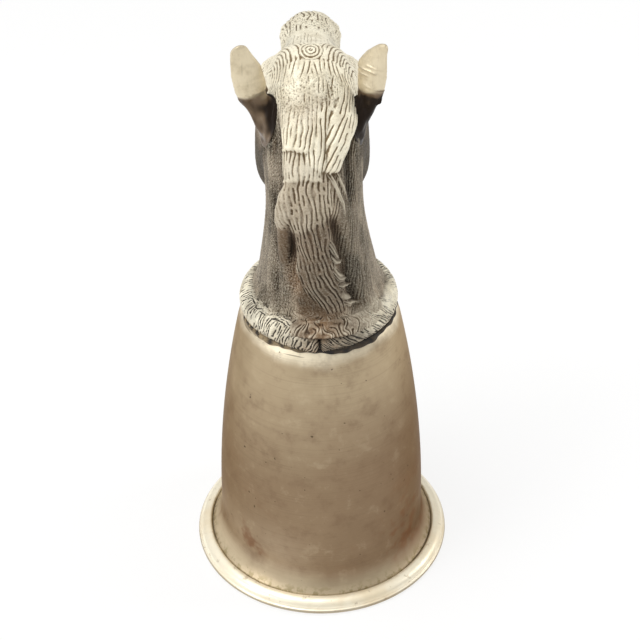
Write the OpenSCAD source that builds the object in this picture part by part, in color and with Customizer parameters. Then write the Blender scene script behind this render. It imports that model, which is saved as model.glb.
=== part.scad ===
// Stirrup cup: a bell-shaped drinking cup that stands on its mouth, with a horse's head as its finial.
// Millimetres. +Z is up, the origin is the centre of the mouth on the table, and the horse looks along +Y.

/* [Cup] */
// Outside diameter of the body just above its flare
body_d = 52.6; // [48:0.2:58]
// Height of the crown above the table
cup_h = 76.5; // [66:0.5:90]
// Thickness of the spun wall
wall = 1.4; // [1:0.1:2.2]
// Outside diameter where the wall meets the shoulder
crown_d = 39.8; // [37:0.2:43]
// Radius of the shoulder between the wall and the crown
shoulder_r = 8; // [6:0.25:10]
// Height at which the flare of the mouth meets the wall
flare_h = 10; // [8:0.25:14]

/* [Rim] */
// Outside diameter of the applied rim
rim_d = 66; // [64:0.2:72]
// Width of the rim's band outside the cup's lip
rim_band = 3.8; // [3:0.1:4.5]
// Height of the rim's inner shoulder
rim_h = 3.3; // [2.6:0.1:4]
// Height of the ledge inside the rim that the lip stands on
rim_ledge = 1.2; // [0.8:0.1:1.6]
// Radius of the rim's rounded edges
rim_round = 0.6; // [0.4:0.05:0.7]

/* [Collar] */
// Diameter of the hair roll's section
roll_d = 8.2; // [7:0.1:9.5]
// How far the roll's outside lies within the top of the cup's wall
roll_in = 0.7; // [0.4:0.1:1.2]
// Height of the ledge that the neck stands on, above the crown
ledge_h = 3.7; // [3:0.1:4]
// Width of the nick where the roll's two ends meet at the nape
nick_w = 0.9; // [0.5:0.1:1.5]
// Height of the roll above that ledge
roll_over = 0.6; // [0.4:0.1:1]
// Width of that ledge round the neck's spigot
ledge_w = 1.5; // [1:0.1:2]
// Thickness of the line of solder under the collar
solder_d = 1.6; // [1.2:0.1:2.2]

/* [Head] */
// Diameter of the neck where it stands on the collar
neck_d = 30; // [28.6:0.2:31]
// Height of the poll above the collar's ledge
head_rise = 60; // [54:0.2:66]
// Distance of the lips from the cup's axis
head_reach = 58.8; // [50:0.2:66]
// Width across the cheeks
cheek_w = 26; // [24:0.2:30]
// How far the head leans to the horse's left of the cup's axis
head_sway = 1.5; // [0:0.1:2]
// Wall of the hollow casting
cast_wall = 2.4; // [1.8:0.1:3]
// Length of the ears
ear_length = 21.3; // [18:0.1:24]
// Greatest width of an ear
ear_w = 7.6; // [6.4:0.2:8.8]
// Thickness of an ear's shell
ear_wall = 1.4; // [1.1:0.1:1.9]
// Greatest height of the relief on the head
relief_h = 2; // [1:0.1:2.5]
// Height of the mane over the crest of the neck
mane_h = 2.6; // [1.8:0.1:3.4]

/* [Hidden] */
$fn = 96;

// Clearance between the pieces that are let into one another
fit_gap = 0.05;
// Clearance under the pieces that lie on the faceted skin of the head
skin_gap = 0.12;
// Colours as the metal shows them
bright_metal = [0.72, 0.67, 0.58];
rim_metal = [0.86, 0.82, 0.73];
dark_metal = [0.16, 0.15, 0.13];
hair_metal = [0.60, 0.57, 0.50];

// The cup's outline, from the lip to the crown, as [radius, height] points
lip_r = rim_d / 2 - rim_band;
body_r = body_d / 2;
lip_z = rim_h - rim_round;
// The flare is an arc that leaves the wall upright and ends at the lip
flare_drop = flare_h - lip_z;
flare_out = lip_r - body_r;
flare_r = (flare_drop * flare_drop + flare_out * flare_out) / (2 * flare_out);
flare_turn = asin(flare_drop / flare_r);
// The wall is a parabola, and the shoulder's arc starts with its slope
crown_r = crown_d / 2;
taper = body_r - crown_r;
function wall_span(lean) = cup_h - shoulder_r * (1 - sin(lean)) - flare_h;
first_lean = atan(2 * taper / (cup_h - flare_h));
wall_lean = atan(2 * taper / wall_span(first_lean));
wall_h = wall_span(wall_lean);
shoulder_in = crown_r - shoulder_r * cos(wall_lean);
flare_steps = 8;
wall_steps = 14;
shoulder_steps = 9;
cup_outline = concat(
    [[lip_r, rim_ledge]],
    [for (i = [0 : flare_steps - 1]) let (a = flare_turn * (1 - i / flare_steps))
        [body_r + flare_r * (1 - cos(a)), flare_h - flare_r * sin(a)]],
    [for (i = [0 : wall_steps - 1]) let (u = i / wall_steps)
        [body_r - taper * u * u, flare_h + wall_h * u]],
    [for (i = [0 : shoulder_steps]) let (a = wall_lean + (90 - wall_lean) * i / shoulder_steps)
        [shoulder_in + shoulder_r * cos(a), cup_h - shoulder_r * (1 - sin(a))]]);

// A line moved inwards, square to itself, by a distance
function inward(line, i, by) = let (
        before = line[max(0, i - 1)],
        after = line[min(len(line) - 1, i + 1)],
        along = (after - before) / norm(after - before))
    line[i] + by * [-along[1], along[0]];

module cup_section(shell) {
    last = len(cup_outline) - 1;
    inner = [for (i = [last : -1 : 2]) inward(cup_outline, i, wall)];
    if (shell)
        polygon(concat(cup_outline, [[0, cup_h], [0, cup_h - wall]], inner, [[lip_r - wall, rim_ledge]]));
    else
        polygon(concat(cup_outline, [[0, cup_h], [0, rim_ledge]]));
}

// The spun body, open at the mouth
module cup_shell() color(bright_metal) rotate_extrude() cup_section(true);

// The applied rim: a domed band with a ledge that the lip stands on
module rim_ring() color(rim_metal) rotate_extrude() {
    outer_r = rim_d / 2;
    seat_r = lip_r + fit_gap;
    mouth_r = lip_r - wall;
    dome_r = (outer_r - rim_round) - (seat_r + rim_round);
    dome = [for (i = [1 : 7]) let (a = 90 * i / 8)
        [seat_r + rim_round + dome_r * sin(a), 2 * rim_round + (rim_h - 2 * rim_round) * cos(a)]];
    inner_turn = [for (i = [0 : 4]) let (a = 180 - 90 * i / 4)
        [seat_r + rim_round * (1 + cos(a)), rim_h - rim_round * (1 - sin(a))]];
    edge_turn = [for (i = [0 : 6]) let (a = 90 - 180 * i / 6)
        [outer_r - rim_round * (1 - cos(a)), rim_round * (1 + sin(a))]];
    polygon(concat([[mouth_r, 0], [mouth_r, rim_ledge], [seat_r, rim_ledge]], inner_turn, dome, edge_turn));
}

// The hair roll round the foot of the neck, and the ring of solder that closes it to the cup
seat_z = cup_h + ledge_h;
roll_r = roll_d / 2;
roll_at = [crown_r - roll_in - roll_r, seat_z + roll_over - roll_r];
neck_r = neck_d / 2;
spigot_r = neck_r - ledge_w;

module roll_section() difference() {
    translate(roll_at) circle(roll_r);
    cup_section(false);
    square([spigot_r + fit_gap, seat_z * 2]);
    translate([0, seat_z]) square([neck_r + fit_gap, roll_d]);
}

module collar() color(hair_metal) difference() {
    rotate_extrude() roll_section();
    translate([0, -roll_at[0] - roll_r, seat_z]) rotate([0, 45, 0])
        cube([nick_w * 2, roll_d, nick_w * 2], center = true);
}

// The solder lies in the corner between the roll and the shoulder, this share of the way down the roll
solder_under = 0.75;
solder_z = roll_at[1] - roll_r * solder_under;
shoulder_z = cup_h - shoulder_r;
solder_in = shoulder_in + sqrt(shoulder_r * shoulder_r - (solder_z - shoulder_z) * (solder_z - shoulder_z));

module solder_seam() color(dark_metal) rotate_extrude() difference() {
    translate([solder_in, solder_z]) circle(solder_d / 2);
    cup_section(false);
    translate(roll_at) circle(roll_r);
}

// The head and neck are a loft over two rails in the plane of symmetry: the crest, forehead and nose
// above, the throat, jaw and chin below. Each row is one section, from the collar to the lips:
// [crest y, crest z, throat y, throat z, half width, fullness above the middle, squareness].
// Along Y they are shares of head_reach, along Z of head_rise, and across of half of cheek_w.
neck_share = neck_r / head_reach;
rails = [
    [-neck_share, 0, neck_share, 0, neck_d / cheek_w, 0.00, 1.00],
    [-0.276, 0.147, 0.226, 0.099, 1.070, 0.00, 1.00],
    [-0.282, 0.280, 0.192, 0.175, 0.995, 0.00, 0.97],
    [-0.276, 0.414, 0.160, 0.235, 0.930, 0.00, 0.94],
    [-0.248, 0.546, 0.138, 0.275, 0.884, 0.00, 0.92],
    [-0.201, 0.680, 0.129, 0.294, 0.868, 0.00, 0.90],
    [-0.136, 0.803, 0.136, 0.292, 0.880, 0.02, 0.86],
    [-0.060, 0.910, 0.162, 0.271, 0.930, 0.00, 0.80],
    [0.031, 0.977, 0.211, 0.248, 0.985, -0.06, 0.74],
    [0.126, 1.000, 0.279, 0.252, 1.000, -0.07, 0.70],
    [0.235, 0.948, 0.369, 0.295, 0.935, 0.00, 0.70],
    [0.355, 0.888, 0.463, 0.362, 0.775, 0.05, 0.72],
    [0.480, 0.840, 0.556, 0.414, 0.645, 0.02, 0.76],
    [0.605, 0.807, 0.647, 0.454, 0.555, 0.00, 0.80],
    [0.724, 0.792, 0.731, 0.476, 0.525, 0.00, 0.84],
    [0.825, 0.778, 0.813, 0.473, 0.565, 0.02, 0.90],
    [0.910, 0.743, 0.884, 0.470, 0.550, 0.00, 0.88],
    [0.969, 0.676, 0.944, 0.506, 0.430, 0.00, 0.84],
    [1.000, 0.606, 0.986, 0.555, 0.185, 0.00, 0.90]];
last_rail = len(rails) - 1;

// Relief on the loft: [rail, angle from the crest, spread along, spread round, share of relief_h]
relief = [
    [8.8, 130, 1.40, 22, 0.95],   // cheek
    [11.5, 180, 2.60, 16, -1.10], // channel between the jaw bones
    [10.55, 60, 0.50, 8, 0.85],   // eye
    [10.15, 46, 0.80, 8, 0.55],   // brow
    [11.3, 66, 0.55, 9, -0.40],   // hollow before the eye
    [9.3, 40, 0.60, 10, -0.45],   // hollow behind the brow
    [11.9, 88, 1.20, 8, 0.45],    // crest of the cheek bone
    [15.7, 66, 0.80, 16, 0.25],   // wing of the nostril
    [16.2, 68, 0.34, 8, -0.95],   // nostril
    [16.4, 128, 1.50, 6, -0.55],  // mouth
    [15.4, 168, 0.80, 26, 0.45],  // chin
    [14.0, 180, 0.80, 26, -0.30], // hollow behind the chin
    [3.5, 128, 2.60, 14, -0.45],  // groove of the throat
    [3.2, 70, 2.40, 20, -0.35]];  // flat of the neck under the mane

function bell(u) = exp(-u * u);
function spline(a, b, c, d, f) =
    0.5 * (2 * b + f * ((c - a) + f * ((2 * a - 5 * b + 4 * c - d) + f * (3 * b - a - 3 * c + d))));
function rail_at(s) = let (i = min(last_rail - 1, floor(s)))
    spline(rails[max(0, i - 1)], rails[i], rails[i + 1], rails[min(last_rail, i + 2)], s - i);
function relief_at(s, turn) = [for (r = relief) r[4]
        * bell((s - r[0]) / r[2]) * bell((turn - r[1]) / r[3])] * [for (r = relief) 1];

// The lean grows from nothing at the collar and levels off towards the lips
sway_span = 6;
function sway(s) = head_sway * (1 - exp(-s / sway_span));

// A point of the head's skin, in its own frame on the collar's ledge. A turn of 0 is the crest and
// 180 the throat; a negative one is the horse's left side. Depth moves it in along its section.
function skin(s, turn, depth = 0) = let (
        row = rail_at(s),
        round = abs(turn),
        top = [row[0] * head_reach, row[1] * head_rise],
        low = [row[2] * head_reach, row[3] * head_rise],
        mid = (top + low) / 2,
        half = (top - low) / 2,
        across = row[4] * cheek_w / 2 * pow(max(0, sin(round)), row[6]) * (1 + row[5] * cos(round)),
        flat = [across, half[0] * cos(round), half[1] * cos(round)],
        out = flat / max(0.01, norm(flat)),
        raise = (depth > 0 ? 0 : relief_h * relief_at(s, round)) - depth,
        spot = flat + out * raise)
    [sign(turn) * spot[0] - sway(s), mid[0] + spot[1], mid[1] + spot[2]];
// The direction out of the skin
function skin_out(s, turn) = let (
        e = 0.02,
        along = skin(min(last_rail, s + e), turn) - skin(max(0, s - e), turn),
        round = skin(s, turn + 1) - skin(s, turn - 1),
        n = cross(round, along))
    n / norm(n);

// Triangles between the rows of a grid of points, facing out or in
function grid_faces(rows, cols, first, inside) = [for (i = [0 : rows - 2], j = [0 : cols - 2])
    let (a = first + i * cols + j, b = a + 1, c = a + cols, d = c + 1)
    each inside ? [[a, b, d], [a, d, c]] : [[a, d, b], [a, c, d]]];

skin_cols = 20;
skin_rows = 54;
core_cols = skin_cols / 2;
core_from = 0.3;
core_to = last_rail - 3.2;
function circle_row(side, r, z, cols) = [for (j = [0 : cols]) let (a = 180 * j / cols)
    [side * r * sin(a), -r * cos(a), z]];
function skin_row(side, s, cols, depth) = [for (j = [0 : cols]) skin(s, side * 180 * j / cols, depth)];

// One hollow half of the head, on the horse's right for a side of 1 and its left for -1. The seam down the
// middle closes it. Its foot is a spigot that drops through the collar and stands on the crown.
module head_half(side) {
    core_r = spigot_r - cast_wall;
    outer = concat(
        [circle_row(side, spigot_r, -ledge_h, skin_cols), circle_row(side, spigot_r, 0, skin_cols)],
        [for (i = [0 : skin_rows]) skin_row(side, last_rail * i / skin_rows, skin_cols, 0)]);
    inner = concat(
        [circle_row(side, core_r, -ledge_h, core_cols), circle_row(side, core_r, -ledge_h / 2, core_cols)],
        [for (i = [0 : skin_rows])
            skin_row(side, core_from + (core_to - core_from) * i / skin_rows, core_cols, cast_wall)]);
    rows = len(outer);
    oc = skin_cols + 1;
    ic = core_cols + 1;
    core = rows * oc;
    tip = core + rows * ic;
    ends = [(skin(last_rail, 0) + skin(last_rail, 180)) / 2,
            (skin(core_to, 0, cast_wall) + skin(core_to, 180, cast_wall)) / 2];
    points = concat([for (r = outer) each r], [for (r = inner) each r], ends);
    lo = (rows - 1) * oc;
    li = core + (rows - 1) * ic;
    faces = concat(
        grid_faces(rows, oc, 0, false),
        grid_faces(rows, ic, core, true),
        // the foot of the spigot, two facets of the skin to one of the core
        [for (j = [0 : core_cols - 1]) let (a = 2 * j, b = core + j)
            each [[a, a + 1, b], [a + 1, b + 1, b], [a + 1, a + 2, b + 1]]],
        // the seam along the crest and along the throat
        [for (i = [0 : rows - 2]) let (a = i * oc, b = core + i * ic)
            each [[a, b, b + ic], [a, b + ic, a + oc]]],
        [for (i = [0 : rows - 2]) let (a = i * oc + skin_cols, b = core + i * ic + core_cols)
            each [[a, b + ic, b], [a, a + oc, b + ic]]],
        // the lips, the end of the core and the seam between them
        [for (j = [0 : skin_cols - 1]) [lo + j, tip, lo + j + 1]],
        [for (j = [0 : core_cols - 1]) [li + j, li + j + 1, tip + 1]],
        [[lo, li, tip + 1], [lo, tip + 1, tip],
         [tip, tip + 1, li + core_cols], [tip, li + core_cols, lo + skin_cols]]);
    turned = side > 0 ? faces : [for (f = faces) [f[0], f[2], f[1]]];
    translate([0, 0, seat_z]) polyhedron(points, turned);
}
module head_right() color(hair_metal) head_half(1);
module head_left() color(hair_metal) head_half(-1);

// An ear grows from a loop drawn on the skin, through a swollen root, into a leaf whose front is hollowed.
// Half of its width and its shift across are shares of half of ear_w, by the share of its length.
left_root = [6.85, 56, 0.78, 21]; // rail, angle, half length along the rails, half of its turn
right_root = [6.85, 57, 0.78, 17];
left_leaf = [[0, 0.79], [0.14, 0.76], [0.33, 0.84], [0.46, 0.95], [0.67, 0.91], [0.84, 0.67], [1, 0.40]];
left_shift = [[0, 0], [0.14, 0.05], [0.33, 0.13], [0.46, 0.10], [0.67, 0.03], [1, 0]];
right_leaf = [[0, 0.79], [0.18, 0.76], [0.38, 0.84], [0.48, 0.92], [0.65, 1], [0.80, 0.74], [1, 0.24]];
right_shift = [[0, 0], [0.18, 0], [0.38, 0.08], [0.48, 0.18], [0.65, 0.39], [0.80, 0.37], [1, 0.13]];
ear_cols = 24;
ear_rows = 18;
root_share = 0.36; // share of the length over which the root narrows into the leaf
function blend(a, b, f) = a + (b - a) * min(1, max(0, f));
function ease(f) = let (g = min(1, max(0, f))) g * g * (3 - 2 * g);

// side is 1 on the horse's right and -1 on its left, lean the ear's way up, face the way its hollow looks
module ear(side, at, leaf, shift, lean, face) {
    up = lean / norm(lean);
    front = (face - (face * up) * up) / norm(face - (face * up) * up);
    wide = cross(up, front);
    root = skin(at[0], side * at[1]) + skin_gap * skin_out(at[0], side * at[1]);
    base = [for (j = [0 : ear_cols - 1]) let (a = 360 * j / ear_cols,
            s = at[0] - at[2] * sin(a),
            t = side * (at[1] - side * at[3] * cos(a)))
        skin(s, t) + skin_gap * skin_out(s, t)];
    rings = [for (i = [1 : ear_rows - 1], j = [0 : ear_cols - 1]) let (
            u = i / ear_rows,
            a = 360 * j / ear_cols,
            half = ear_w / 2 * lookup(u, leaf),
            deep = (0.72 - 0.47 * u) * half,
            hollow = blend(-0.8 * half, deep - ear_wall, ease((u - 0.1) / 0.28)),
            back = sin(a) > 0 ? deep * sin(a) : -hollow * sin(a),
            across = ear_w / 2 * lookup(u, shift) + half * cos(a),
            spot = root + up * (ear_length * u) + wide * across - front * (back - deep / 2),
            low = base[j] + up * (ear_length * u * 0.8))
        low + (spot - low) * ease(u / root_share)];
    tip = root + up * ear_length + wide * (ear_w / 2 * lookup(1, shift));
    count = ear_rows * ear_cols;
    points = concat(base, rings, [root, tip]);
    faces = concat(
        [for (i = [0 : ear_rows - 2], j = [0 : ear_cols - 1])
            let (k = (j + 1) % ear_cols, a = i * ear_cols + j, b = i * ear_cols + k)
            each [[a, a + ear_cols, b + ear_cols], [a, b + ear_cols, b]]],
        [for (j = [0 : ear_cols - 1]) [j, (j + 1) % ear_cols, count]],
        [for (j = [0 : ear_cols - 1])
            [count - ear_cols + j, count + 1, count - ear_cols + (j + 1) % ear_cols]]);
    translate([0, 0, seat_z]) polyhedron(points, faces);
}
module ear_left() color(bright_metal)
    ear(-1, left_root, left_leaf, left_shift, [-0.27, -0.16, 1], [-0.30, 1, 0]);
module ear_right() color(bright_metal)
    ear(1, right_root, right_leaf, right_shift, [0.28, -0.16, 1], [0.75, 1, 0]);

// The mane lies on the skin from the collar to the forelock, in tiers of locks that sweep to the right
mane_from = 0.16;
mane_to = 8.3;
mane_cols = 18;
mane_rows = 42;
mane_edge = 0.5;
mane_tiers = 3;
mane_locks = 3;
function mane_half(u) = 29 + 8 * u - 7 * bell((u - 0.62) / 0.12) - 14 * bell((u - 1.05) / 0.10);
function mane_turn(u) = 7 * bell((u - 0.12) / 0.25)
    - 3 * bell((u - 0.5) / 0.2)
    + 4 * bell((u - 0.85) / 0.15);
function mane_thick(u, v) = let (
        tier = 0.72 + 0.28 * (1 - (u * mane_tiers - floor(u * mane_tiers))),
        lock = 0.86 + 0.14 * cos(360 * mane_locks * (v / 2 + 0.9 * u)),
        ends = min(1, 6 * u + 0.4, 5 * (1 - u) + 0.3))
    mane_edge + (mane_h - mane_edge) * sqrt(1 - v * v) * tier * lock * ends;

module mane() color(hair_metal) {
    spots = [for (i = [0 : mane_rows], j = [0 : mane_cols])
        let (u = i / mane_rows, v = 2 * j / mane_cols - 1)
        [mane_from + (mane_to - mane_from) * u, mane_turn(u) + v * mane_half(u), mane_thick(u, v)]];
    cols = mane_cols + 1;
    rows = mane_rows + 1;
    under = rows * cols;
    points = concat(
        [for (p = spots) skin(p[0], p[1]) + (skin_gap + p[2]) * skin_out(p[0], p[1])],
        [for (p = spots) skin(p[0], p[1]) + skin_gap * skin_out(p[0], p[1])]);
    faces = concat(
        grid_faces(rows, cols, 0, false),
        grid_faces(rows, cols, under, true),
        [for (i = [0 : rows - 2]) let (a = i * cols, b = under + a)
            each [[a, b, b + cols], [a, b + cols, a + cols]]],
        [for (i = [0 : rows - 2]) let (a = i * cols + mane_cols, b = under + a)
            each [[a, b + cols, b], [a, a + cols, b + cols]]],
        [for (j = [0 : mane_cols - 1]) let (a = j, b = under + j)
            each [[a, a + 1, b + 1], [a, b + 1, b]]],
        [for (j = [0 : mane_cols - 1]) let (a = under - cols + j, b = under + a)
            each [[a, b + 1, a + 1], [a, b, b + 1]]]);
    translate([0, 0, seat_z]) polyhedron(points, faces);
}

cup_shell();
rim_ring();
solder_seam();
collar();
head_left();
head_right();
ear_left();
ear_right();
mane();
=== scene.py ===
import math

import bpy
import numpy as np
from mathutils import Euler, Matrix, Vector


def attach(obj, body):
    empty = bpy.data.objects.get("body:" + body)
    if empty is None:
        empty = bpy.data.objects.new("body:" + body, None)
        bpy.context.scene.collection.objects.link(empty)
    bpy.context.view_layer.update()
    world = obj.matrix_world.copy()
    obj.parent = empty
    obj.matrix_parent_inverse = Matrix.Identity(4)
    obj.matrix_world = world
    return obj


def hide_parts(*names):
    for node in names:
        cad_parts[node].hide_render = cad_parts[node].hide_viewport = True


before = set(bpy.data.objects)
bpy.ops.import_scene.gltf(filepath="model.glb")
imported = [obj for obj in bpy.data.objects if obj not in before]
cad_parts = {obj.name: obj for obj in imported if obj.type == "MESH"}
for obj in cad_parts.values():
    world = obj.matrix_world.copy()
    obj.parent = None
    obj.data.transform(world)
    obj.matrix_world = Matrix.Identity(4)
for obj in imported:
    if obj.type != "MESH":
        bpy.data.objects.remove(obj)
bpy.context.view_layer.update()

MM = 0.001
# sizes of the part's source, in mm
SEAT_Z = 80.2      # ledge of the collar, where the neck starts
NECK_D = 30.0
REACH = 58.8       # from the cup's axis to the lips
RISE = 60.0        # from the ledge to the crest of the poll
CHEEK_W = 26.0
SWAY = 1.5         # lean of the head to its left
SWAY_SPAN = 6.0    # rails over which the lean grows
RELIEF = 2.0       # unit of the forms on the loft


# ---- small maths ----

def bell(u):
    """1 at 0, falling off on both sides."""
    return np.exp(-u * u)


def ramp(low, high, x):
    """Smooth step from 0 at low to 1 at high, whichever of the two is larger."""
    t = np.clip((x - low) / (high - low), 0.0, 1.0)
    return t * t * (3.0 - 2.0 * t)


def band(x, low, full, fade, end):
    """1 between full and fade, and 0 before low and after end."""
    return ramp(low, full, x) * (1 - ramp(fade, end, x))


def blot(q, p, at, wide, long):
    """1 at one place of the skin, falling off around it."""
    return bell((q - at[0]) / wide) * bell((p - at[1]) / long)


def unit(v):
    """A vector at the length of 1."""
    return v / np.linalg.norm(v)


def chance(a, b=0.0, seed=0.0):
    """A repeatable number from 0 to 1 for each whole a and b."""
    n = np.sin(a * 12.9898 + b * 78.233 + seed * 37.719) * 43758.5453
    return n - np.floor(n)


def drift(x, y, seed):
    """Slow, smooth variation between -1 and 1."""
    return (np.sin(0.61 * x + 1.3 * seed) * np.cos(0.53 * y - 0.7 * seed)
            + np.sin(1.37 * y + 0.9 * x + 2.1 * seed) * 0.6
            + np.cos(2.3 * x - 1.7 * y + 0.4 * seed) * 0.4) / 2.0


# ---- the loft of the neck and head, as in the part's source ----

NECK_SHARE = NECK_D / 2 / REACH
# crest forward and up, throat forward and up, width, how far it lies to the crest, squareness
RAILS = np.array([
    [-NECK_SHARE, 0, NECK_SHARE, 0, NECK_D / CHEEK_W, 0.00, 1.00],
    [-0.276, 0.147, 0.226, 0.099, 1.070, 0.00, 1.00],
    [-0.282, 0.280, 0.192, 0.175, 0.995, 0.00, 0.97],
    [-0.276, 0.414, 0.160, 0.235, 0.930, 0.00, 0.94],
    [-0.248, 0.546, 0.138, 0.275, 0.884, 0.00, 0.92],
    [-0.201, 0.680, 0.129, 0.294, 0.868, 0.00, 0.90],
    [-0.136, 0.803, 0.136, 0.292, 0.880, 0.02, 0.86],
    [-0.060, 0.910, 0.162, 0.271, 0.930, 0.00, 0.80],
    [0.031, 0.977, 0.211, 0.248, 0.985, -0.06, 0.74],
    [0.126, 1.000, 0.279, 0.252, 1.000, -0.07, 0.70],
    [0.235, 0.948, 0.369, 0.295, 0.935, 0.00, 0.70],
    [0.355, 0.888, 0.463, 0.362, 0.775, 0.05, 0.72],
    [0.480, 0.840, 0.556, 0.414, 0.645, 0.02, 0.76],
    [0.605, 0.807, 0.647, 0.454, 0.555, 0.00, 0.80],
    [0.724, 0.792, 0.731, 0.476, 0.525, 0.00, 0.84],
    [0.825, 0.778, 0.813, 0.473, 0.565, 0.02, 0.90],
    [0.910, 0.743, 0.884, 0.470, 0.550, 0.00, 0.88],
    [0.969, 0.676, 0.944, 0.506, 0.430, 0.00, 0.84],
    [1.000, 0.606, 0.986, 0.555, 0.185, 0.00, 0.90]])
LAST = len(RAILS) - 1
# rail, angle from the crest, spread along, spread round, share of RELIEF
FORMS = [
    (8.8, 130, 1.40, 22, 0.95), (11.5, 180, 2.60, 16, -1.10), (10.55, 60, 0.50, 8, 0.55),
    (10.15, 46, 0.80, 8, 0.55), (11.3, 66, 0.55, 9, -0.40), (9.3, 40, 0.60, 10, -0.45),
    (11.9, 88, 1.20, 8, 0.45), (15.7, 66, 0.80, 16, 0.25), (16.4, 128, 1.50, 6, -0.20),
    (15.4, 168, 0.80, 26, 0.45), (14.0, 180, 0.80, 26, -0.30), (3.5, 128, 2.60, 14, -0.45),
    (3.2, 70, 2.40, 20, -0.35)]


def rail_at(s):
    """The row of RAILS at s, on a smooth curve through the rows beside it."""
    i = np.minimum(LAST - 1, np.floor(s).astype(int))
    f = (s - i)[..., None]
    a, b = RAILS[np.maximum(0, i - 1)], RAILS[i]
    c, d = RAILS[i + 1], RAILS[np.minimum(LAST, i + 2)]
    square, cubic = 2 * a - 5 * b + 4 * c - d, 3 * b - a - 3 * c + d
    return 0.5 * (2 * b + f * ((c - a) + f * (square + f * cubic)))


def skin(s, turn):
    """Points of the head in mm: s runs from the collar to the lips, turn from -180 (left) to 180."""
    s, turn = np.broadcast_arrays(np.asarray(s, float), np.asarray(turn, float))
    row = rail_at(s)
    around = np.radians(np.abs(turn))
    scale = np.array([REACH, RISE])
    top, low = row[..., 0:2] * scale, row[..., 2:4] * scale
    mid, half = (top + low) / 2, (top - low) / 2
    wide = row[..., 4] * CHEEK_W / 2 * np.maximum(0, np.sin(around)) ** row[..., 6]
    wide = wide * (1 + row[..., 5] * np.cos(around))
    flat = np.stack([wide, half[..., 0] * np.cos(around), half[..., 1] * np.cos(around)], -1)
    out = flat / np.maximum(0.01, np.linalg.norm(flat, axis=-1, keepdims=True))
    raised = np.zeros(s.shape)
    for at, angle, along, about, share in FORMS:
        form = bell((s - at) / along) * bell((np.abs(turn) - angle) / about)
        raised = raised + RELIEF * share * form
    place = flat + out * raised[..., None]
    side = np.sign(turn) * place[..., 0] - SWAY * (1 - np.exp(-s / SWAY_SPAN))
    return np.stack([side, mid[..., 0] + place[..., 1], SEAT_Z + mid[..., 1] + place[..., 2]], -1)


def outward(grid):
    """Unit normals of a grid of points whose columns go round and whose rows go along."""
    around = np.gradient(grid, axis=1)
    along = np.gradient(grid, axis=0)
    n = np.cross(around, along)
    return n / np.maximum(1e-9, np.linalg.norm(n, axis=-1, keepdims=True))


# Length along the crest, so that patterns keep their size
CREST_CUTS = 1801
CREST_S = np.linspace(0, LAST, CREST_CUTS)
CREST = skin(CREST_S, np.zeros_like(CREST_S))
CREST_P = np.r_[0, np.cumsum(np.linalg.norm(np.diff(CREST, axis=0), axis=-1))]


def s_at(p):
    """The rail at p mm along the crest."""
    return np.interp(p, CREST_P, CREST_S)


def half_turns(count):
    """Angles from the crest to the throat, closer together near both."""
    return 90 - 90 * np.cos(np.linspace(0, math.pi, count))


def arcs(grid, middle):
    """Distance round each row from its middle column, negative on the left."""
    step = np.linalg.norm(np.diff(grid, axis=1), axis=-1)
    q = np.zeros(grid.shape[:2])
    q[:, middle + 1:] = np.cumsum(step[:, middle:], axis=1)
    q[:, :middle] = -np.cumsum(step[:, :middle][:, ::-1], axis=1)[:, ::-1]
    return q


# ---- chased strokes ----

def grainy(x, y, seed):
    """Smooth random field between 0 and 1, with lumps about one unit across."""
    i, j = np.floor(x), np.floor(y)
    u, v = ramp(0, 1, x - i), ramp(0, 1, y - j)
    low = chance(i, j, seed) * (1 - u) + chance(i + 1, j, seed) * u
    high = chance(i, j + 1, seed) * (1 - u) + chance(i + 1, j + 1, seed) * u
    return low * (1 - v) + high * v


def hair(across, along, pitch, length, seed, width=0.28, wander=0.35, cover=0.66):
    """Chased lines that waver, thicken and break off: 1 in the middle of a line, 0 between lines."""
    shift = wander * (2 * grainy(across / (3 * pitch), along / 4.5, seed) - 1)
    shift = shift + 0.5 * wander * (2 * grainy(across / pitch, along / 1.7, seed + 1) - 1)
    phase = across / pitch + shift
    row = np.floor(phase)
    away = np.abs(phase - row - 0.5) * pitch
    k = along / length + 9.0 * chance(row, 1.0, seed + 5)
    step = np.floor(k)
    blend = ramp(0, 1, k - step)
    strength = chance(row, step, seed + 2) * (1 - blend) + chance(row, step + 1, seed + 2) * blend
    mask = ramp(0.88 - cover, 1.18 - cover, strength)
    broad = width * (0.55 + 0.75 * grainy(row * 5.7, along / 2.3, seed + 3))
    return np.clip(1 - (away / broad) ** 2, 0, 1) * mask


def pits(x, y, pitch, seed, size=0.36):
    """Punched dots scattered on a loose grid."""
    best = np.full(x.shape, 9.0)
    cx, cy = np.floor(x / pitch), np.floor(y / pitch)
    for i in (-1, 0, 1):
        for j in (-1, 0, 1):
            px = (cx + i + chance(cx + i, cy + j, seed)) * pitch
            py = (cy + j + chance(cx + i, cy + j, seed + 1)) * pitch
            big = 0.5 + chance(cx + i, cy + j, seed + 2)
            best = np.minimum(best, np.hypot(x - px, y - py) / big)
    return np.clip(1 - (best / size) ** 2, 0, 1)


# ---- the mane's locks, drawn on the skin ----

WISP_PITCH = 0.62
TUFT = dict(brown=0.7, crisp="left")
STRAND = dict(brown=0.4)


def wisp(tone, *path, **looks):
    """A thin lock with fine strokes: across, along, half width and height of each point."""
    return dict(path=[(q, p, half, half, tall) for q, p, half, tall in path],
                tone=tone, own=WISP_PITCH, **looks)


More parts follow.
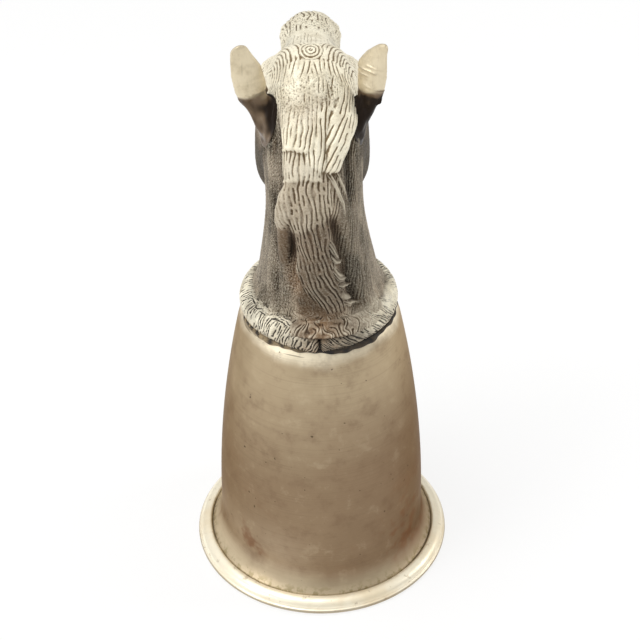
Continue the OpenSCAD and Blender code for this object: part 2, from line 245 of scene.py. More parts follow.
# A path gives across, along, width to the left, width to the right and height of each point.
# tone is how dull a lock is, with painted shade in the tone of the lower tiers and their tufts, brown
# how brown, smooth how worn its strokes are, crisp the side whose edge stands up, own the pitch of
# its own strokes, and blunt says that its end is cut off.
LOCKS = [
    # the lowest tier sweeps to the right over a smooth foot
    dict(path=[(-2.8, 13, 2.6, 2.8, 0.2), (-1.8, 6.5, 4.4, 4.8, 0.5), (0.4, 0.5, 7.6, 8.0, 0.5),
               (0.8, -3.0, 8.6, 9.0, 0.4)], tone=0.78, brown=1.0, smooth=0.85),
    dict(path=[(-0.4, 29, 5.6, 5.2, 0.6), (-0.3, 22, 5.2, 4.8, 1.3), (-0.1, 16.5, 5.2, 4.8, 1.8),
               (1.0, 11, 4.8, 5.2, 1.7), (3.2, 5.0, 3.4, 4.6, 0.9)], tone=0.70, brown=0.9),
    # tufts flick out of its edge
    wisp(0.80, (2.4, 23.6, 0.9, 0.4), (4.2, 20.4, 0.9, 1.2), (5.7, 18.2, 0.5, 0.7), **TUFT),
    wisp(0.84, (2.8, 20.2, 0.6, 0.4), (4.8, 17.6, 0.6, 1.1), (6.3, 16.6, 0.4, 0.7),
         (7.1, 16.9, 0.3, 0.2), **TUFT),
    wisp(0.78, (2.2, 17.6, 1.1, 0.4), (4.8, 13.8, 1.1, 1.4), (6.8, 11.4, 0.6, 0.9),
         (7.9, 10.9, 0.3, 0.2), **TUFT),
    wisp(0.84, (3.0, 13.4, 0.7, 0.4), (5.6, 10.6, 0.7, 1.1), (7.6, 9.2, 0.5, 0.7),
         (8.8, 9.4, 0.3, 0.2), **TUFT),
    wisp(0.76, (3.4, 10.4, 1.0, 0.4), (6.2, 7.0, 1.0, 1.2), (8.6, 4.8, 0.5, 0.6), **TUFT),
    wisp(0.80, (4.6, 6.4, 0.7, 0.4), (7.8, 3.6, 0.6, 0.8), (10.4, 2.6, 0.3, 0.3), **TUFT),
    # loose strands lie right of the middle tier
    wisp(0.66, (3.4, 39.6, 0.9, 0.5), (5.4, 36.2, 0.8, 0.6), (6.6, 32.6, 0.6, 0.5),
         (7.0, 29.4, 0.3, 0.1), **STRAND),
    wisp(0.72, (4.8, 40.4, 0.8, 0.4), (7.0, 37.0, 0.7, 0.5), (8.6, 33.2, 0.5, 0.1), **STRAND),
    # the middle tier, with a lobe on its left and a smooth brown one below that
    dict(path=[(-1.4, 41, 6.4, 5.6, 0.9), (-1.6, 36, 6.6, 6.0, 1.4), (-1.7, 32, 6.8, 6.2, 1.7),
               (-1.5, 29, 6.2, 5.6, 1.5), (-0.8, 24.6, 5.0, 5.0, 0.4)], tone=0.26, brown=0.55),
    dict(path=[(-4.8, 38.2, 1.6, 3.4, 1.2), (-6.4, 35.2, 1.8, 4.6, 1.9), (-7.6, 31.6, 1.8, 5.2, 2.1),
               (-8.4, 28.4, 1.7, 3.4, 1.6), (-8.4, 25.4, 1.6, 2.4, 0.7)],
         tone=0.26, brown=0.5, smooth=0.3, crisp="left"),
    dict(path=[(-8.2, 28.0, 1.9, 3.0, 1.1), (-8.7, 24.0, 2.1, 2.5, 1.1), (-8.8, 20.0, 1.9, 2.1, 0.8),
               (-8.2, 15.8, 1.2, 1.4, 0.2)], tone=0.74, brown=0.95, smooth=0.8),
    # a short fringe shows between the poll's hair and the middle tier
    dict(path=[(-2.0, 48, 5.8, 5.4, 0.6), (-2.3, 43.5, 5.6, 5.4, 1.1), (-2.5, 40.2, 5.2, 5.2, 1.5),
               (-2.5, 38.4, 5.0, 5.0, 1.6)], tone=0.16, brown=0.25, blunt=True),
    # the poll's hair falls in two lobes, the right one a thick lock over the middle tier
    dict(path=[(0.6, 60, 6.0, 6.0, 0.0), (0.6, 54, 5.2, 5.2, 0.6), (0.3, 48, 4.4, 4.4, 1.4),
               (0.4, 42.2, 3.6, 3.4, 1.7)], tone=0.02),
    dict(path=[(-2.6, 60, 6.5, 7.0, 0.0), (-3.0, 54, 5.4, 6.0, 0.6), (-3.4, 49.5, 4.4, 5.4, 1.4),
               (-3.7, 45.4, 3.6, 4.2, 1.9)], tone=0.02, blunt=True),
    dict(path=[(12.0, 61, 7.0, 3.4, 0.1), (10.2, 56.5, 7.0, 3.2, 0.9), (8.6, 52, 6.4, 2.9, 1.9),
               (6.4, 47, 5.0, 2.5, 2.4), (4.4, 41.6, 2.8, 1.8, 2.0)],
         tone=0.02, crisp="right", own=1.02),
]
OWN_SEED = 21.0      # the strokes of a lock's own take this and its place in the list
# how far right of the crest the hair's flow runs, by the distance from the collar
FLOW_P = (-3.0, 6.0, 11.0, 16.5, 22.0, 28.0, 34.0, 40.0, 48.0, 60.0)
FLOW_Q = (7.0, 4.6, 2.6, 0.9, -0.2, -1.0, -1.6, -1.4, -0.6, 0.0)
# how dull the mane grows from the poll down to the collar, partly wear on the upper locks and partly
# painted shade that deepens downwards
DULL_DOWNWARD_P = (-4.0, 8.0, 16.0, 24.0, 30.0, 37.0, 44.0, 52.0)
DULL_DOWNWARD = (0.5, 0.84, 0.78, 0.62, 0.40, 0.22, 0.06, 0.0)


def along_lock(path, q, p):
    """Every point against one lock.

    Gives its distance from the lock's line, its offset to the side, its run along the line, the
    lock's width on that side and height there, and how far the point lies past the lock's end.
    """
    near = np.full(q.shape, 1e9)
    across, along, wide, tall, past = (np.zeros(q.shape) for _ in range(5))
    run = 0.0
    for i, (here, there) in enumerate(zip(path[:-1], path[1:])):
        dq, dp = there[0] - here[0], there[1] - here[1]
        span = math.hypot(dq, dp)
        raw = ((q - here[0]) * dq + (p - here[1]) * dp) / span ** 2
        t = np.clip(raw, 0, 1)
        away = np.hypot(q - here[0] - t * dq, p - here[1] - t * dp)
        side = ((q - here[0]) * dp - (p - here[1]) * dq) / span
        left, right, high = (here[k] + (there[k] - here[k]) * t for k in (2, 3, 4))
        take = away < near
        near = np.where(take, away, near)
        across = np.where(take, side, across)
        along = np.where(take, run + t * span, along)
        wide = np.where(take, np.where(side > 0, left, right), wide)
        tall = np.where(take, high, tall)
        beyond = np.maximum(0, raw - 1) * span if i == len(path) - 2 else 0.0
        past = np.where(take, beyond, past)
        run += span
    return near, across, along, wide, tall, past


def mane_field(q, p):
    """Height of the mane over the skin, depth of its strokes, and how dull and how brown it is."""
    height, groove, brown = (np.zeros(q.shape) for _ in range(3))
    tone = np.full(q.shape, 0.3)
    # long strokes fall from the poll, and break into short ones further down
    flow = q - np.interp(p, FLOW_P, FLOW_Q)
    long = hair(flow, p, 0.97, 1.9, 11.0, width=0.27, wander=0.42, cover=0.80)
    short = hair(flow, p + 0.4 * flow, 0.98, 1.05, 15.0, width=0.33, wander=0.45, cover=0.78)
    sweep = hair(flow, p, 0.95, 1.7, 17.0, width=0.32, wander=0.4, cover=0.84)
    upper, lower = ramp(38.0, 41.0, p), ramp(21.0, 17.0, p)
    common = long * upper + sweep * lower + short * np.clip(1 - upper - lower, 0, 1)
    # a lock's outline is never quite smooth
    q = q + 0.35 * drift(q * 0.5, p * 0.5, 12.0)
    p = p + 0.75 * drift(q * 0.5, p * 0.2, 13.0)
    ragged = 0.7 * grainy(flow / 1.9, np.zeros_like(flow), 19.0)
    dull_downward = np.interp(p, DULL_DOWNWARD_P, DULL_DOWNWARD) + 0.10 * drift(q * 0.5, p * 0.4, 24.0)
    for k, lock in enumerate(LOCKS):
        near, across, along, wide, tall, past = along_lock(lock["path"], q, p)
        blunt, crisp = lock.get("blunt", False), lock.get("crisp")
        x = np.hypot((across / wide) ** 2, past / (0.7 + ragged)) if blunt else near / wide
        inside = np.clip(1 - x * x, 0, 1)
        # a crisp edge stands up, a soft one runs out
        sharp = (past > 0) & blunt
        if crisp:
            sharp = sharp | (across > 0 if crisp == "left" else across < 0)
        here = tall * np.where(sharp, inside ** 0.45, inside ** 1.2)
        cut = common
        if "own" in lock:
            cut = hair(across, along, lock["own"], 2.0, OWN_SEED + k,
                       width=0.26, wander=0.36, cover=0.80)
        cut = cut * (1 - lock.get("smooth", 0.0)) * ramp(0.02, 0.25, inside)
        take = here > height
        height = np.where(take, here, height)
        groove = np.where(take, cut, groove)
        share = ramp(0.0, 0.5, inside) * take
        tone = tone + (0.45 * lock["tone"] + 0.55 * dull_downward - tone) * share
        brown = brown + (lock.get("brown", 0.0) - brown) * share
    return height, groove, tone, brown


# ---- the skin's own strokes and colours ----

# places in mm across and along the crest
WHORL = (0.0, 68.0)
EAR_L = (-14.5, 65.5)
EAR_R = (15.0, 65.5)
RECESS = (-6.4, 21.5)      # hollow left of the lowest tier
# how far right the valley beside the mane lies at the collar, and its slope
GULLY = (9.9, 0.20)


def soften(values, rounds):
    """A field averaged with its neighbours, over and over."""
    for _ in range(rounds):
        wide = np.pad(values, 1, mode="edge")
        beside = wide[:-2, 1:-1] + wide[2:, 1:-1] + wide[1:-1, :-2] + wide[1:-1, 2:]
        values = (beside + 2 * values) / 6
    return values


def low_valley(q, p, width):
    """1 along the valley beside the lower mane."""
    return bell((q - GULLY[0] + GULLY[1] * p) / width) * (1 - ramp(26, 32, p))


def high_valley(q, p):
    """1 along the valley beside the upper mane."""
    return bell((q - 9.6) / 2.0) * band(p, 30, 37, 47, 51)


def hollows(q, p, turn):
    """Broad hollows and ridges that the skin and the mane share, in mm."""
    recess = -1.5 * blot(q, p, RECESS, 2.2, 4.4)
    valley = -1.7 * low_valley(q, p, 1.8) * ramp(-1, 5, p) - 1.0 * high_valley(q, p)
    trough = -0.7 * bell((q + 11.0) / 1.8) * band(p, 2, 10, 30, 40)
    strap = 0.6 * bell((q + 13.4) / 1.2) * band(p, 26, 34, 47, 52)
    pocket = -0.8 * blot(np.abs(q), p, (11.0, 49.0), 2.0, 4.0)
    flare = 0.9 * bell(p / 3.0) * ramp(25, 50, np.abs(turn))
    return recess + valley + trough + strap + pocket + flare


def valley_light(q, p):
    """How much of its patina and painted shade each place keeps: less of both in the valley beside
    the lowest tier.
    """
    return 1 - 0.6 * ramp(30, 16, p) * ramp(4.5, 8.0, q + GULLY[1] * (p - 8.0))


def parts_of(p, s, turn):
    """How far each place belongs to the dome of the poll, to the neck and to the muzzle."""
    dome = band(p, 44.0, 56.0, 59.0, 64.0) * (1 - ramp(50, 66, np.abs(turn)))
    return dome, 1 - ramp(6.0, 7.2, s), ramp(12.9, 13.6, s)


def polar(q, p, centre, squash=1.0):
    """Distance from a place of the skin, and the direction from it."""
    dq, dp = q - centre[0], p - centre[1]
    return np.hypot(dq, dp * squash), np.arctan2(dp, dq)


def coat_strokes(q, p, s, turn):
    """The strokes and dots chased into the skin: 1 in the middle of each."""
    away = np.abs(turn)
    dome, neck, muzzle = parts_of(p, s, turn)
    # rings round the whorl, and arcs that fan out from each ear over the forehead
    r, way = polar(q, p, WHORL, 0.85)
    ring = hair(r + 0.15, way * 3.0, 0.84, 5.0, 3.0, width=0.22, wander=0.12, cover=0.9)
    left, way = polar(q, p, EAR_L)
    fan_l = hair(left, way * 10.0, 1.06, 4.5, 4.0, width=0.29, wander=0.25, cover=0.9)
    right, way = polar(q, p, EAR_R)
    fan_r = hair(right, way * 10.0, 1.06, 3.5, 5.0, width=0.29, wander=0.3, cover=0.86)
    fan = np.where(q < 0, fan_l * ramp(2.0, 3.5, left), fan_r * ramp(2.0, 3.5, right))
    brow = ramp(59.5, 63.0, p + 1.5 * drift(q, p, 2.0)) * (1 - ramp(76.0, 82.0, p))
    brow = brow * (1 - ramp(58, 70, away))
    ease = ramp(2.5, 3.1, r)
    # fine hair down the neck on the right, punched dots and faint hair on the left
    down = hair(q - 0.10 * p, p, 0.74, 4.0, 21.0, width=0.23, wander=0.5, cover=0.80)
    dots = pits(q, p, 0.8, 31.0, 0.28)
    flank = np.where(turn > 0, 0.7 * down, np.maximum(0.5 * dots, 0.3 * down))
    # short hair along the cheeks and down the face
    face = band(s, 6.8, 8.0, 13.4, 14.2) * ramp(58, 76, away)
    cheek = hair(q + 0.25 * p * np.sign(turn), p, 0.85, 2.6, 41.0, width=0.25)
    nose = band(s, 10.4, 11.4, 12.8, 13.4) * (1 - ramp(44, 62, away))
    bristle = hair(q, p, 1.3, 2.2, 53.0, width=0.38, wander=0.4, cover=0.55)
    return np.maximum.reduce([
        brow * (ring * (1 - ease) + fan * ease),
        # the worn dome of the poll is punched with dots and a few strokes
        dome * 0.5 * pits(q, p, 0.8, 9.0, 0.28),
        dome * 0.8 * hair(q, p, 1.1, 1.6, 8.0, width=0.22, cover=0.42),
        neck * flank,
        face * 0.65 * cheek,
        nose * 0.65 * hair(q, p, 0.95, 3.0, 43.0, width=0.25),
        muzzle * 0.55 * pits(q, p, 1.0, 51.0, 0.34),
        muzzle * (away < 70) * bristle])


def coat_field(q, p, s, turn):
    """The strokes chased into the skin, and how dull, brown and speckled the skin is."""
    away = np.abs(turn)
    dome, neck, muzzle = parts_of(p, s, turn)
    # the neck is dull, partly patina and partly painted shade, paler towards its sides as painted
    # light, and darkest as painted shade in the valley beside the mane and in the hollow on its left
    valley = low_valley(q, p, 2.3) + 0.8 * high_valley(q, p)
    hollow = blot(q, p, RECESS, 2.6, 5.0)
    streak = blot(q, p, (-5.4, 14.0), 2.0, 6.0)
    patchy = 0.14 * drift(q * 0.55, p * 0.35, 22.0) + 0.30 * (grainy(q / 0.9, p / 7.0, 26.0) - 0.5)
    flank = np.where(turn > 0, 0.76, 0.75) - 0.18 * ramp(45, 95, away) + patchy
    tone = 0.05 + neck * ramp(10, 40, away) * flank
    tone = tone + 0.30 * valley + 0.42 * hollow + 0.15 * streak
    # painted shade dulls the throat, the jaw and its back (more on the right), the sides of the
    # muzzle and the sides of the nose
    jaw = ramp(74, 100, away) * band(s, 5.6, 7.0, 9.8, 12.0)
    jaw_back = ramp(60, 80, away) * band(s, 5.6, 6.6, 8.0, 10.0)
    tone = tone + 0.30 * ramp(100, 150, away) * (s > 6) + 0.44 * jaw
    tone = tone + np.where(turn > 0, 0.75, 0.50) * jaw_back
    tone = tone + 0.12 * muzzle * ramp(60, 120, away)
    tone = tone + 0.46 * bell((s - 12.3) / 0.9) * ramp(18, 48, away)
    # a few places are rubbed paler
    tone = tone - 0.16 * ramp(14, 4, p) * ramp(12, 17, q)
    tone = tone - 0.18 * blot(q, p, (-10.0, 41.0), 3.0, 6.0)
    brown = neck * 0.60 + 0.8 * jaw + 0.6 * jaw_back + 0.9 * hollow + 0.6 * streak + 0.3 * valley
    speck = 0.22 + 0.30 * dome + 0.60 * muzzle
    speck = speck + neck * np.where(turn > 0, 0.12, 0.30 * (1 - hollow))
    looks = (np.clip(look, 0, 1) for look in (tone, brown, speck))
    return coat_strokes(q, p, s, turn), *looks


def cast_grain(q, p, seed):
    """The rough skin of a casting, in mm."""
    coarse, fine = grainy(q / 0.55, p / 0.55, seed), grainy(q / 0.27, p / 0.27, seed + 1)
    return 0.05 * (coarse - 0.5) + 0.035 * (fine - 0.5)


def wear_and_shade(relief, near, far):
    """Dark patina and painted shade in what lies below its surroundings, and the rubbed shine on what
    stands above them.
    """
    close = soften(relief, near) - relief
    broad = soften(relief, far) - relief
    deep = soften(relief, 9 * far) - relief
    # close darkens the strokes as patina; broad and deep paint shade into the wider hollows and at
    # the feet of the locks
    dirt = np.clip(7.0 * close, 0, 1) + np.clip(0.8 * broad, 0, 0.8) + np.clip(0.6 * deep, 0, 0.55)
    shine = np.clip(-5.0 * close, 0, 1) + np.clip(-0.30 * broad, 0, 0.35)
    return np.clip(dirt, 0, 1), np.clip(shine, 0, 1)


# the sheet that the mane is raised on, in mm along and across the crest
MANE_P = (-4.4, 66.0)
MANE_Q = (-13.5, 17.0)


def mane_inner(q, p):
    """1 well inside the mane's sheet, falling to 0 at its border."""
    beside = np.minimum(q - MANE_Q[0], MANE_Q[1] - q)
    beyond = np.minimum(p - MANE_P[0] + 1.0, MANE_P[1] - p)
    return ramp(0.0, 1.6, np.minimum(beside, beyond))


# ---- building pieces ----

WELD = 2e-6      # points that lie nearer than this are one, in m


def start_clean():
    """Object mode, with nothing selected."""
    if bpy.context.mode != "OBJECT":
        bpy.ops.object.mode_set(mode="OBJECT")
    bpy.ops.object.select_all(action="DESELECT")


def pick(piece):
    """Makes a piece the only one that is selected."""
    start_clean()
    piece.select_set(True)
    bpy.context.view_layer.objects.active = piece


def finish_piece(piece, name, node, material):
    """Names a piece, gives it its finish and ties it to the solid that it dresses."""
    piece.name = name
    piece.data.name = name
    piece.data.materials.clear()
    piece.data.materials.append(material)
    pick(piece)
    bpy.ops.object.shade_smooth()
    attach(piece, "root")
    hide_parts(node)


def points_of(piece):
    """A piece's vertices in mm."""
    points = np.empty(len(piece.data.vertices) * 3)
    piece.data.vertices.foreach_get("co", points)
    return points.reshape(-1, 3) / MM


def push_points(piece, points):
    """Moves a piece's vertices to these points in mm."""
    piece.data.vertices.foreach_set("co", (points * MM).ravel())
    piece.data.update()


def sheet_of(points):
    """A grid primitive whose vertices are pushed to a table of points, rows by columns."""
    rows, cols = points.shape[:2]
    start_clean()
    bpy.ops.mesh.primitive_grid_add(x_subdivisions=cols - 1, y_subdivisions=rows - 1, size=1)
    piece = bpy.context.object
    assert len(piece.data.vertices) == rows * cols, (len(piece.data.vertices), rows, cols)
    push_points(piece, points)
    return piece


def paint(piece, **looks):
    """Stores fields on a piece's vertices, for its finish to read."""
    for name, values in looks.items():
        layer = piece.data.attributes.new(name, "FLOAT", "POINT")
        layer.data.foreach_set("value", np.asarray(values, dtype=np.float32).ravel())


def open_edit(piece):
    """Edit mode, with all of a piece selected."""
    pick(piece)
    bpy.ops.object.mode_set(mode="EDIT")
    bpy.ops.mesh.select_all(action="SELECT")


def close_edit():
    """Turns every face outwards and goes back to object mode."""
    bpy.ops.mesh.select_all(action="SELECT")
    bpy.ops.mesh.normals_make_consistent(inside=False)
    bpy.ops.object.mode_set(mode="OBJECT")


def close_rim(piece):
    """Fills the open edge of a sheet, so that it is a closed shape."""
    open_edit(piece)
    bpy.ops.mesh.select_all(action="DESELECT")
    bpy.ops.mesh.select_mode(type="EDGE")
    bpy.ops.mesh.select_non_manifold(extend=False, use_wire=False, use_boundary=True,
                                     use_multi_face=False, use_non_contiguous=False, use_verts=False)
    bpy.ops.mesh.edge_face_add()
    close_edit()


def weld(piece):
    """Joins the two edges of a sheet that meet after it has been rolled up."""
    open_edit(piece)
    bpy.ops.mesh.remove_doubles(threshold=WELD)
    close_edit()


def close_ends(piece):
    """Fills each open end of a rolled-up sheet with its own face."""
    open_edit(piece)
    bpy.ops.mesh.fill_holes(sides=0)
    close_edit()


def turned(outline, steps):
    """An outline of [radius, height] points in mm, drawn by extruding a vertex and spun round Z."""
    start_clean()
    bpy.ops.mesh.primitive_plane_add(size=MM, location=(0, 0, 0))
    piece = bpy.context.object
    bpy.ops.object.mode_set(mode="EDIT")
    bpy.ops.mesh.select_mode(type="VERT")
    bpy.ops.mesh.merge(type="CENTER")
    r, z = outline[0]
    bpy.ops.transform.translate(value=(r * MM, 0, z * MM))
    for (r0, z0), (r1, z1) in zip(outline[:-1], outline[1:]):
        bpy.ops.mesh.extrude_region_move(
            TRANSFORM_OT_translate={"value": ((r1 - r0) * MM, 0, (z1 - z0) * MM)})
    bpy.ops.mesh.select_all(action="SELECT")
    bpy.ops.mesh.spin(steps=steps, angle=2 * math.pi, center=(0, 0, 0), axis=(0, 0, 1))
    bpy.ops.mesh.select_all(action="SELECT")
    bpy.ops.mesh.remove_doubles(threshold=WELD)
    bpy.ops.mesh.delete_loose(use_verts=True, use_edges=True, use_faces=False)
    close_edit()
    return piece


# ---- finishes ----

def shade(r, g, b):
    """A colour as the eye reads it, 0 to 255, for a shader's socket."""
    def linear(c):
        c = c / 255.0
        return c / 12.92 if c <= 0.04045 else ((c + 0.055) / 1.055) ** 2.4
    return (linear(r), linear(g), linear(b), 1.0)


class Finish:
    """One material, with short calls for the nodes that it needs."""

    def __init__(self, name):
        self.material = bpy.data.materials.new(name)
        self.material.use_nodes = True
        self.nodes = self.material.node_tree.nodes
        self.links = self.material.node_tree.links
        self.shader = self.nodes["Principled BSDF"]
        self.place = self.nodes.new("ShaderNodeTexCoord").outputs["Object"]
        where = self.add("SeparateXYZ", Vector=self.place)
        self.x, self.z = where.outputs["X"], where.outputs["Z"]

    def put(self, socket, value):
        if isinstance(value, bpy.types.NodeSocket):
            self.links.new(value, socket)
        else:
            socket.default_value = value

    def fill(self, node, **sockets):
        """Puts a value or a link on sockets, which are named with _ for a space."""
        for name, value in sockets.items():
            self.put(node.inputs[name.replace("_", " ")], value)
        return node

    def add(self, kind, **sockets):
        return self.fill(self.nodes.new("ShaderNode" + kind), **sockets)

    def set(self, **sockets):
        self.fill(self.shader, **sockets)

    def attribute(self, name):
        node = self.add("Attribute")
        node.attribute_name = name
        return node.outputs["Fac"]

    def noise(self, scale, detail=3.0, rough=0.5, stretch=None):
        at = self.place
        if stretch:
            at = self.add("Mapping", Vector=at, Scale=stretch).outputs["Vector"]
        node = self.add("TexNoise", Vector=at, Scale=scale, Detail=detail, Roughness=rough)
        return node.outputs["Fac"]

    def fit(self, value, low, high, to_low=0.0, to_high=1.0):
        """Smooth step from to_low at low to to_high at high."""
        node = self.add("MapRange", Value=value, From_Min=low, From_Max=high,
                        To_Min=to_low, To_Max=to_high)
        node.interpolation_type = "SMOOTHSTEP"
        return node.outputs["Result"]

    def math(self, kind, a, b=0.0):
        node = self.add("Math")
        node.operation = kind
        self.put(node.inputs[0], a)
        self.put(node.inputs[1], b)
        return node.outputs[0]

    def times(self, a, b):
        return self.math("MULTIPLY", a, b)

    def plus(self, a, b):
        return self.math("ADD", a, b)

    def mix(self, factor, a, b, kind="MIX"):
        node = self.add("Mix")
        node.data_type = "RGBA"
        node.blend_type = kind
        for socket, value in ((0, factor), (6, a), (7, b)):     # factor and both colours
            self.put(node.inputs[socket], value)
        return node.outputs[2]

    def bump(self, height, distance, strength=1.0):
        node = self.add("Bump", Height=height, Distance=distance, Strength=strength)
        self.set(Normal=node.outputs["Normal"])


def chased_pewter():
    """Cast and chased hair: pale and dry where worn, dark in the strokes, brown in the hollows; its
    dull tone and the dark of its hollows carry painted shade as well as patina.
    """
    f = Finish("chased_pewter")
    dirt, shine, ink, tone, brown, speck = (
        f.attribute(look) for look in ("dirt", "shine", "ink", "tone", "brown", "speck"))
    mottle = f.noise(260, 4, 0.6)
    grain = f.noise(2900, 2, 0.6)
    pale = f.mix(f.fit(mottle, 0.38, 0.68), shade(250, 243, 221), shade(235, 225, 199))
    stained = f.mix(brown, pale, shade(142, 106, 68))
    dull = f.plus(tone, f.fit(mottle, 0.42, 0.75, -0.04, 0.12))
    aged_and_shaded = f.mix(dull, stained, shade(60, 51, 40))
    # small dark and light specks, as a punched or sandy casting keeps them
    dark_speck = f.times(speck, f.fit(grain, 0.50, 0.64))
    light_speck = f.times(speck, f.fit(grain, 0.48, 0.36, 0.0, 0.5))
    sandy = f.mix(dark_speck, aged_and_shaded, shade(164, 158, 142), kind="MULTIPLY")
    sandy = f.mix(light_speck, sandy, shade(238, 231, 209))
    rubbed = f.times(shine, f.fit(tone, 0.1, 0.9, 0.78, 0.42))
    worn = f.mix(rubbed, sandy, shade(250, 240, 216))
    # patina in the strokes and painted shade in the hollows darken the colour here
    soil_and_shade = f.mix(ink, shade(132, 116, 92), shade(62, 54, 45))
    f.set(Base_Color=f.mix(f.fit(dirt, 0.05, 0.8), worn, soil_and_shade, kind="MULTIPLY"),
          Metallic=f.fit(tone, 0.45, 0.95, 0.28, 0.06),
          Specular_IOR_Level=f.fit(tone, 0.45, 0.95, 0.5, 0.12),
          Roughness=f.fit(grain, 0.3, 0.7, 0.56, 0.70))
    f.bump(f.noise(2200, 3, 0.6), 0.00006, 0.5)
    return f.material


def ear_pewter():
    """Smooth burnished ears, dark and matt at their roots, where brown patina deepens into painted
    shade.
    """
    f = Finish("ear_pewter")
    mottle = f.noise(190, 4, 0.6)
    tone = f.attribute("tone")
    scratch = f.noise(420, 2, 0.5, stretch=(6.0, 6.0, 0.6))
    bright = f.mix(f.fit(mottle, 0.4, 0.72), shade(224, 210, 180), shade(188, 172, 140))
    worn = f.mix(f.fit(scratch, 0.62, 0.74, 0.0, 0.3), bright, shade(150, 134, 106))
    warm = f.mix(f.fit(tone, 0.05, 0.55), worn, shade(108, 88, 66))
    # the darkest tone is near-black painted shade
    f.set(Base_Color=f.mix(f.fit(tone, 0.50, 0.95), warm, shade(36, 27, 20)),
          Metallic=f.fit(tone, 0.0, 0.6, 0.6, 0.08),
          Specular_IOR_Level=f.fit(tone, 0.3, 0.9, 0.5, 0.12),
          Roughness=f.fit(mottle, 0.3, 0.7, 0.30, 0.46))
    f.bump(f.noise(900, 3, 0.6), 0.00008, 0.4)
    return f.material


def cup_pewter():
    """Spun satin metal: fine lines round it, warm tarnish, stains low down, painted shade low down
    and on the right, and painted highlights on the crown and the flare.
    """
    f = Finish("cup_pewter")
    x, z = f.x, f.z
    lines = f.noise(900, 2, 0.5, stretch=(0.05, 0.05, 3.0))
    cloud = f.noise(45, 4, 0.55)
    spots = f.noise(110, 3, 0.6)
    # the body is darker low down and paler high up, partly tarnish and partly painted shade
    height = f.plus(z, f.fit(cloud, 0.3, 0.7, -0.007, 0.007))
    ground = f.mix(f.fit(height, 0.034, 0.069), shade(148, 126, 100), shade(186, 167, 137))
    # a painted reflection lightens the low left of the body
    low_left_reflection = f.times(f.fit(z, 0.026, 0.012, 0.0, 0.7), f.fit(x, 0.002, -0.014))
    ground = f.mix(low_left_reflection, ground, shade(182, 162, 136))
    # a painted highlight runs along the crown under the solder, lowest at the middle of the back,
    # with file marks
    crown_edge_noise = f.noise(150, 4, 0.6)
    off_middle = f.math("ABSOLUTE", f.plus(x, 0.003))
    edge = f.plus(z, f.fit(crown_edge_noise, 0.3, 0.7, -0.0005, 0.0005))
    edge = f.plus(edge, f.fit(off_middle, 0.017, 0.004, -0.0006, 0.0012))
    crown = f.fit(edge, 0.0697, 0.0737)
    marks = f.noise(420, 2, 0.5, stretch=(0.22, 0.22, 3.2))
    filed = f.times(f.fit(z, 0.0712, 0.0726), f.fit(marks, 0.58, 0.66, 0.0, 0.7))
    filed = f.times(filed, f.fit(x, 0.004, -0.006, 0.15, 1.0))
    # the crown's painted highlight goes onto the ground colour
    worn = f.mix(crown, ground, shade(250, 238, 210))
    worn = f.mix(filed, worn, shade(120, 104, 80))
    cloudy = f.mix(f.fit(cloud, 0.46, 0.74, 0.0, 0.35), worn, shade(140, 118, 92))
    # blotches, brushed streaks and a few dark specks
    blotch = f.noise(170, 5, 0.65)
    cloudy = f.mix(f.fit(blotch, 0.48, 0.72, 0.0, 0.34), cloudy, shade(112, 86, 66))
    cloudy = f.mix(f.fit(blotch, 0.46, 0.28, 0.0, 0.22), cloudy, shade(214, 197, 166))
    cloudy = f.mix(f.fit(lines, 0.50, 0.68, 0.0, 0.11), cloudy, shade(104, 86, 66))
    specks = f.fit(f.noise(800, 1, 0.4), 0.765, 0.79, 0.0, 0.7)
    cloudy = f.mix(specks, cloudy, shade(66, 52, 40))
    # the right side is darkened as painted shade, and both flanks are stained low down
    shaded = f.times(f.fit(x, -0.004, 0.026, 0.0, 0.46), f.fit(z, 0.070, 0.045))
    cloudy = f.mix(shaded, cloudy, shade(112, 88, 68))
    flank = f.fit(x, 0.013, 0.022, 0.0, 0.09)
    stain = f.times(f.fit(f.plus(spots, flank), 0.52, 0.66, 0.0, 0.6), f.fit(z, 0.036, 0.014))
    stain = f.times(stain, f.fit(f.math("ABSOLUTE", x), 0.011, 0.018, 0.12, 1.0))
    stained = f.mix(stain, cloudy, shade(122, 80, 54))
    # a painted reflection makes the flare at the foot as pale as the rim
    foot = f.plus(z, f.fit(cloud, 0.3, 0.7, -0.0010, 0.0010))
    flare = f.fit(foot, 0.0092, 0.0018, 0.0, 0.66)
    lumps = f.fit(f.noise(650, 3, 0.6), 0.46, 0.62, 0.0, 0.55)
    crud = f.times(f.fit(z, 0.0052, 0.0028), lumps)
    pale = f.math("MAXIMUM", crown, flare)
    f.set(Base_Color=f.mix(crud, f.mix(flare, stained, shade(228, 212, 178)), shade(132, 116, 66)),
          Metallic=f.math("SUBTRACT", 0.85, f.times(pale, 0.62)),
          Specular_Tint=shade(190, 174, 158),
          Roughness=f.fit(cloud, 0.3, 0.7, 0.36, 0.46))
    f.bump(lines, 0.00003, 0.35)
    return f.material


def rim_pewter():
    """Pale rubbed metal, dirty in the groove and dull at the outer edge."""
    f = Finish("rim_pewter")
    cloud = f.noise(90, 4, 0.6)
    spots = f.noise(420, 3, 0.6)
    pale = f.mix(f.fit(cloud, 0.4, 0.72), shade(255, 246, 222), shade(240, 225, 194))
    dotted = f.mix(f.fit(spots, 0.62, 0.74, 0.0, 0.45), pale, shade(150, 124, 84))
    dirty = f.times(f.attribute("groove"), f.fit(cloud, 0.35, 0.6, 0.35, 1.0))
    edged = f.mix(f.times(f.attribute("edge"), 0.7), dotted, shade(132, 112, 84))
    f.set(Base_Color=f.mix(dirty, edged, shade(128, 108, 66)),
          Metallic=0.45,
          Roughness=f.fit(cloud, 0.3, 0.7, 0.32, 0.46))
    f.bump(f.noise(1200, 3, 0.6), 0.00005, 0.3)
    return f.material


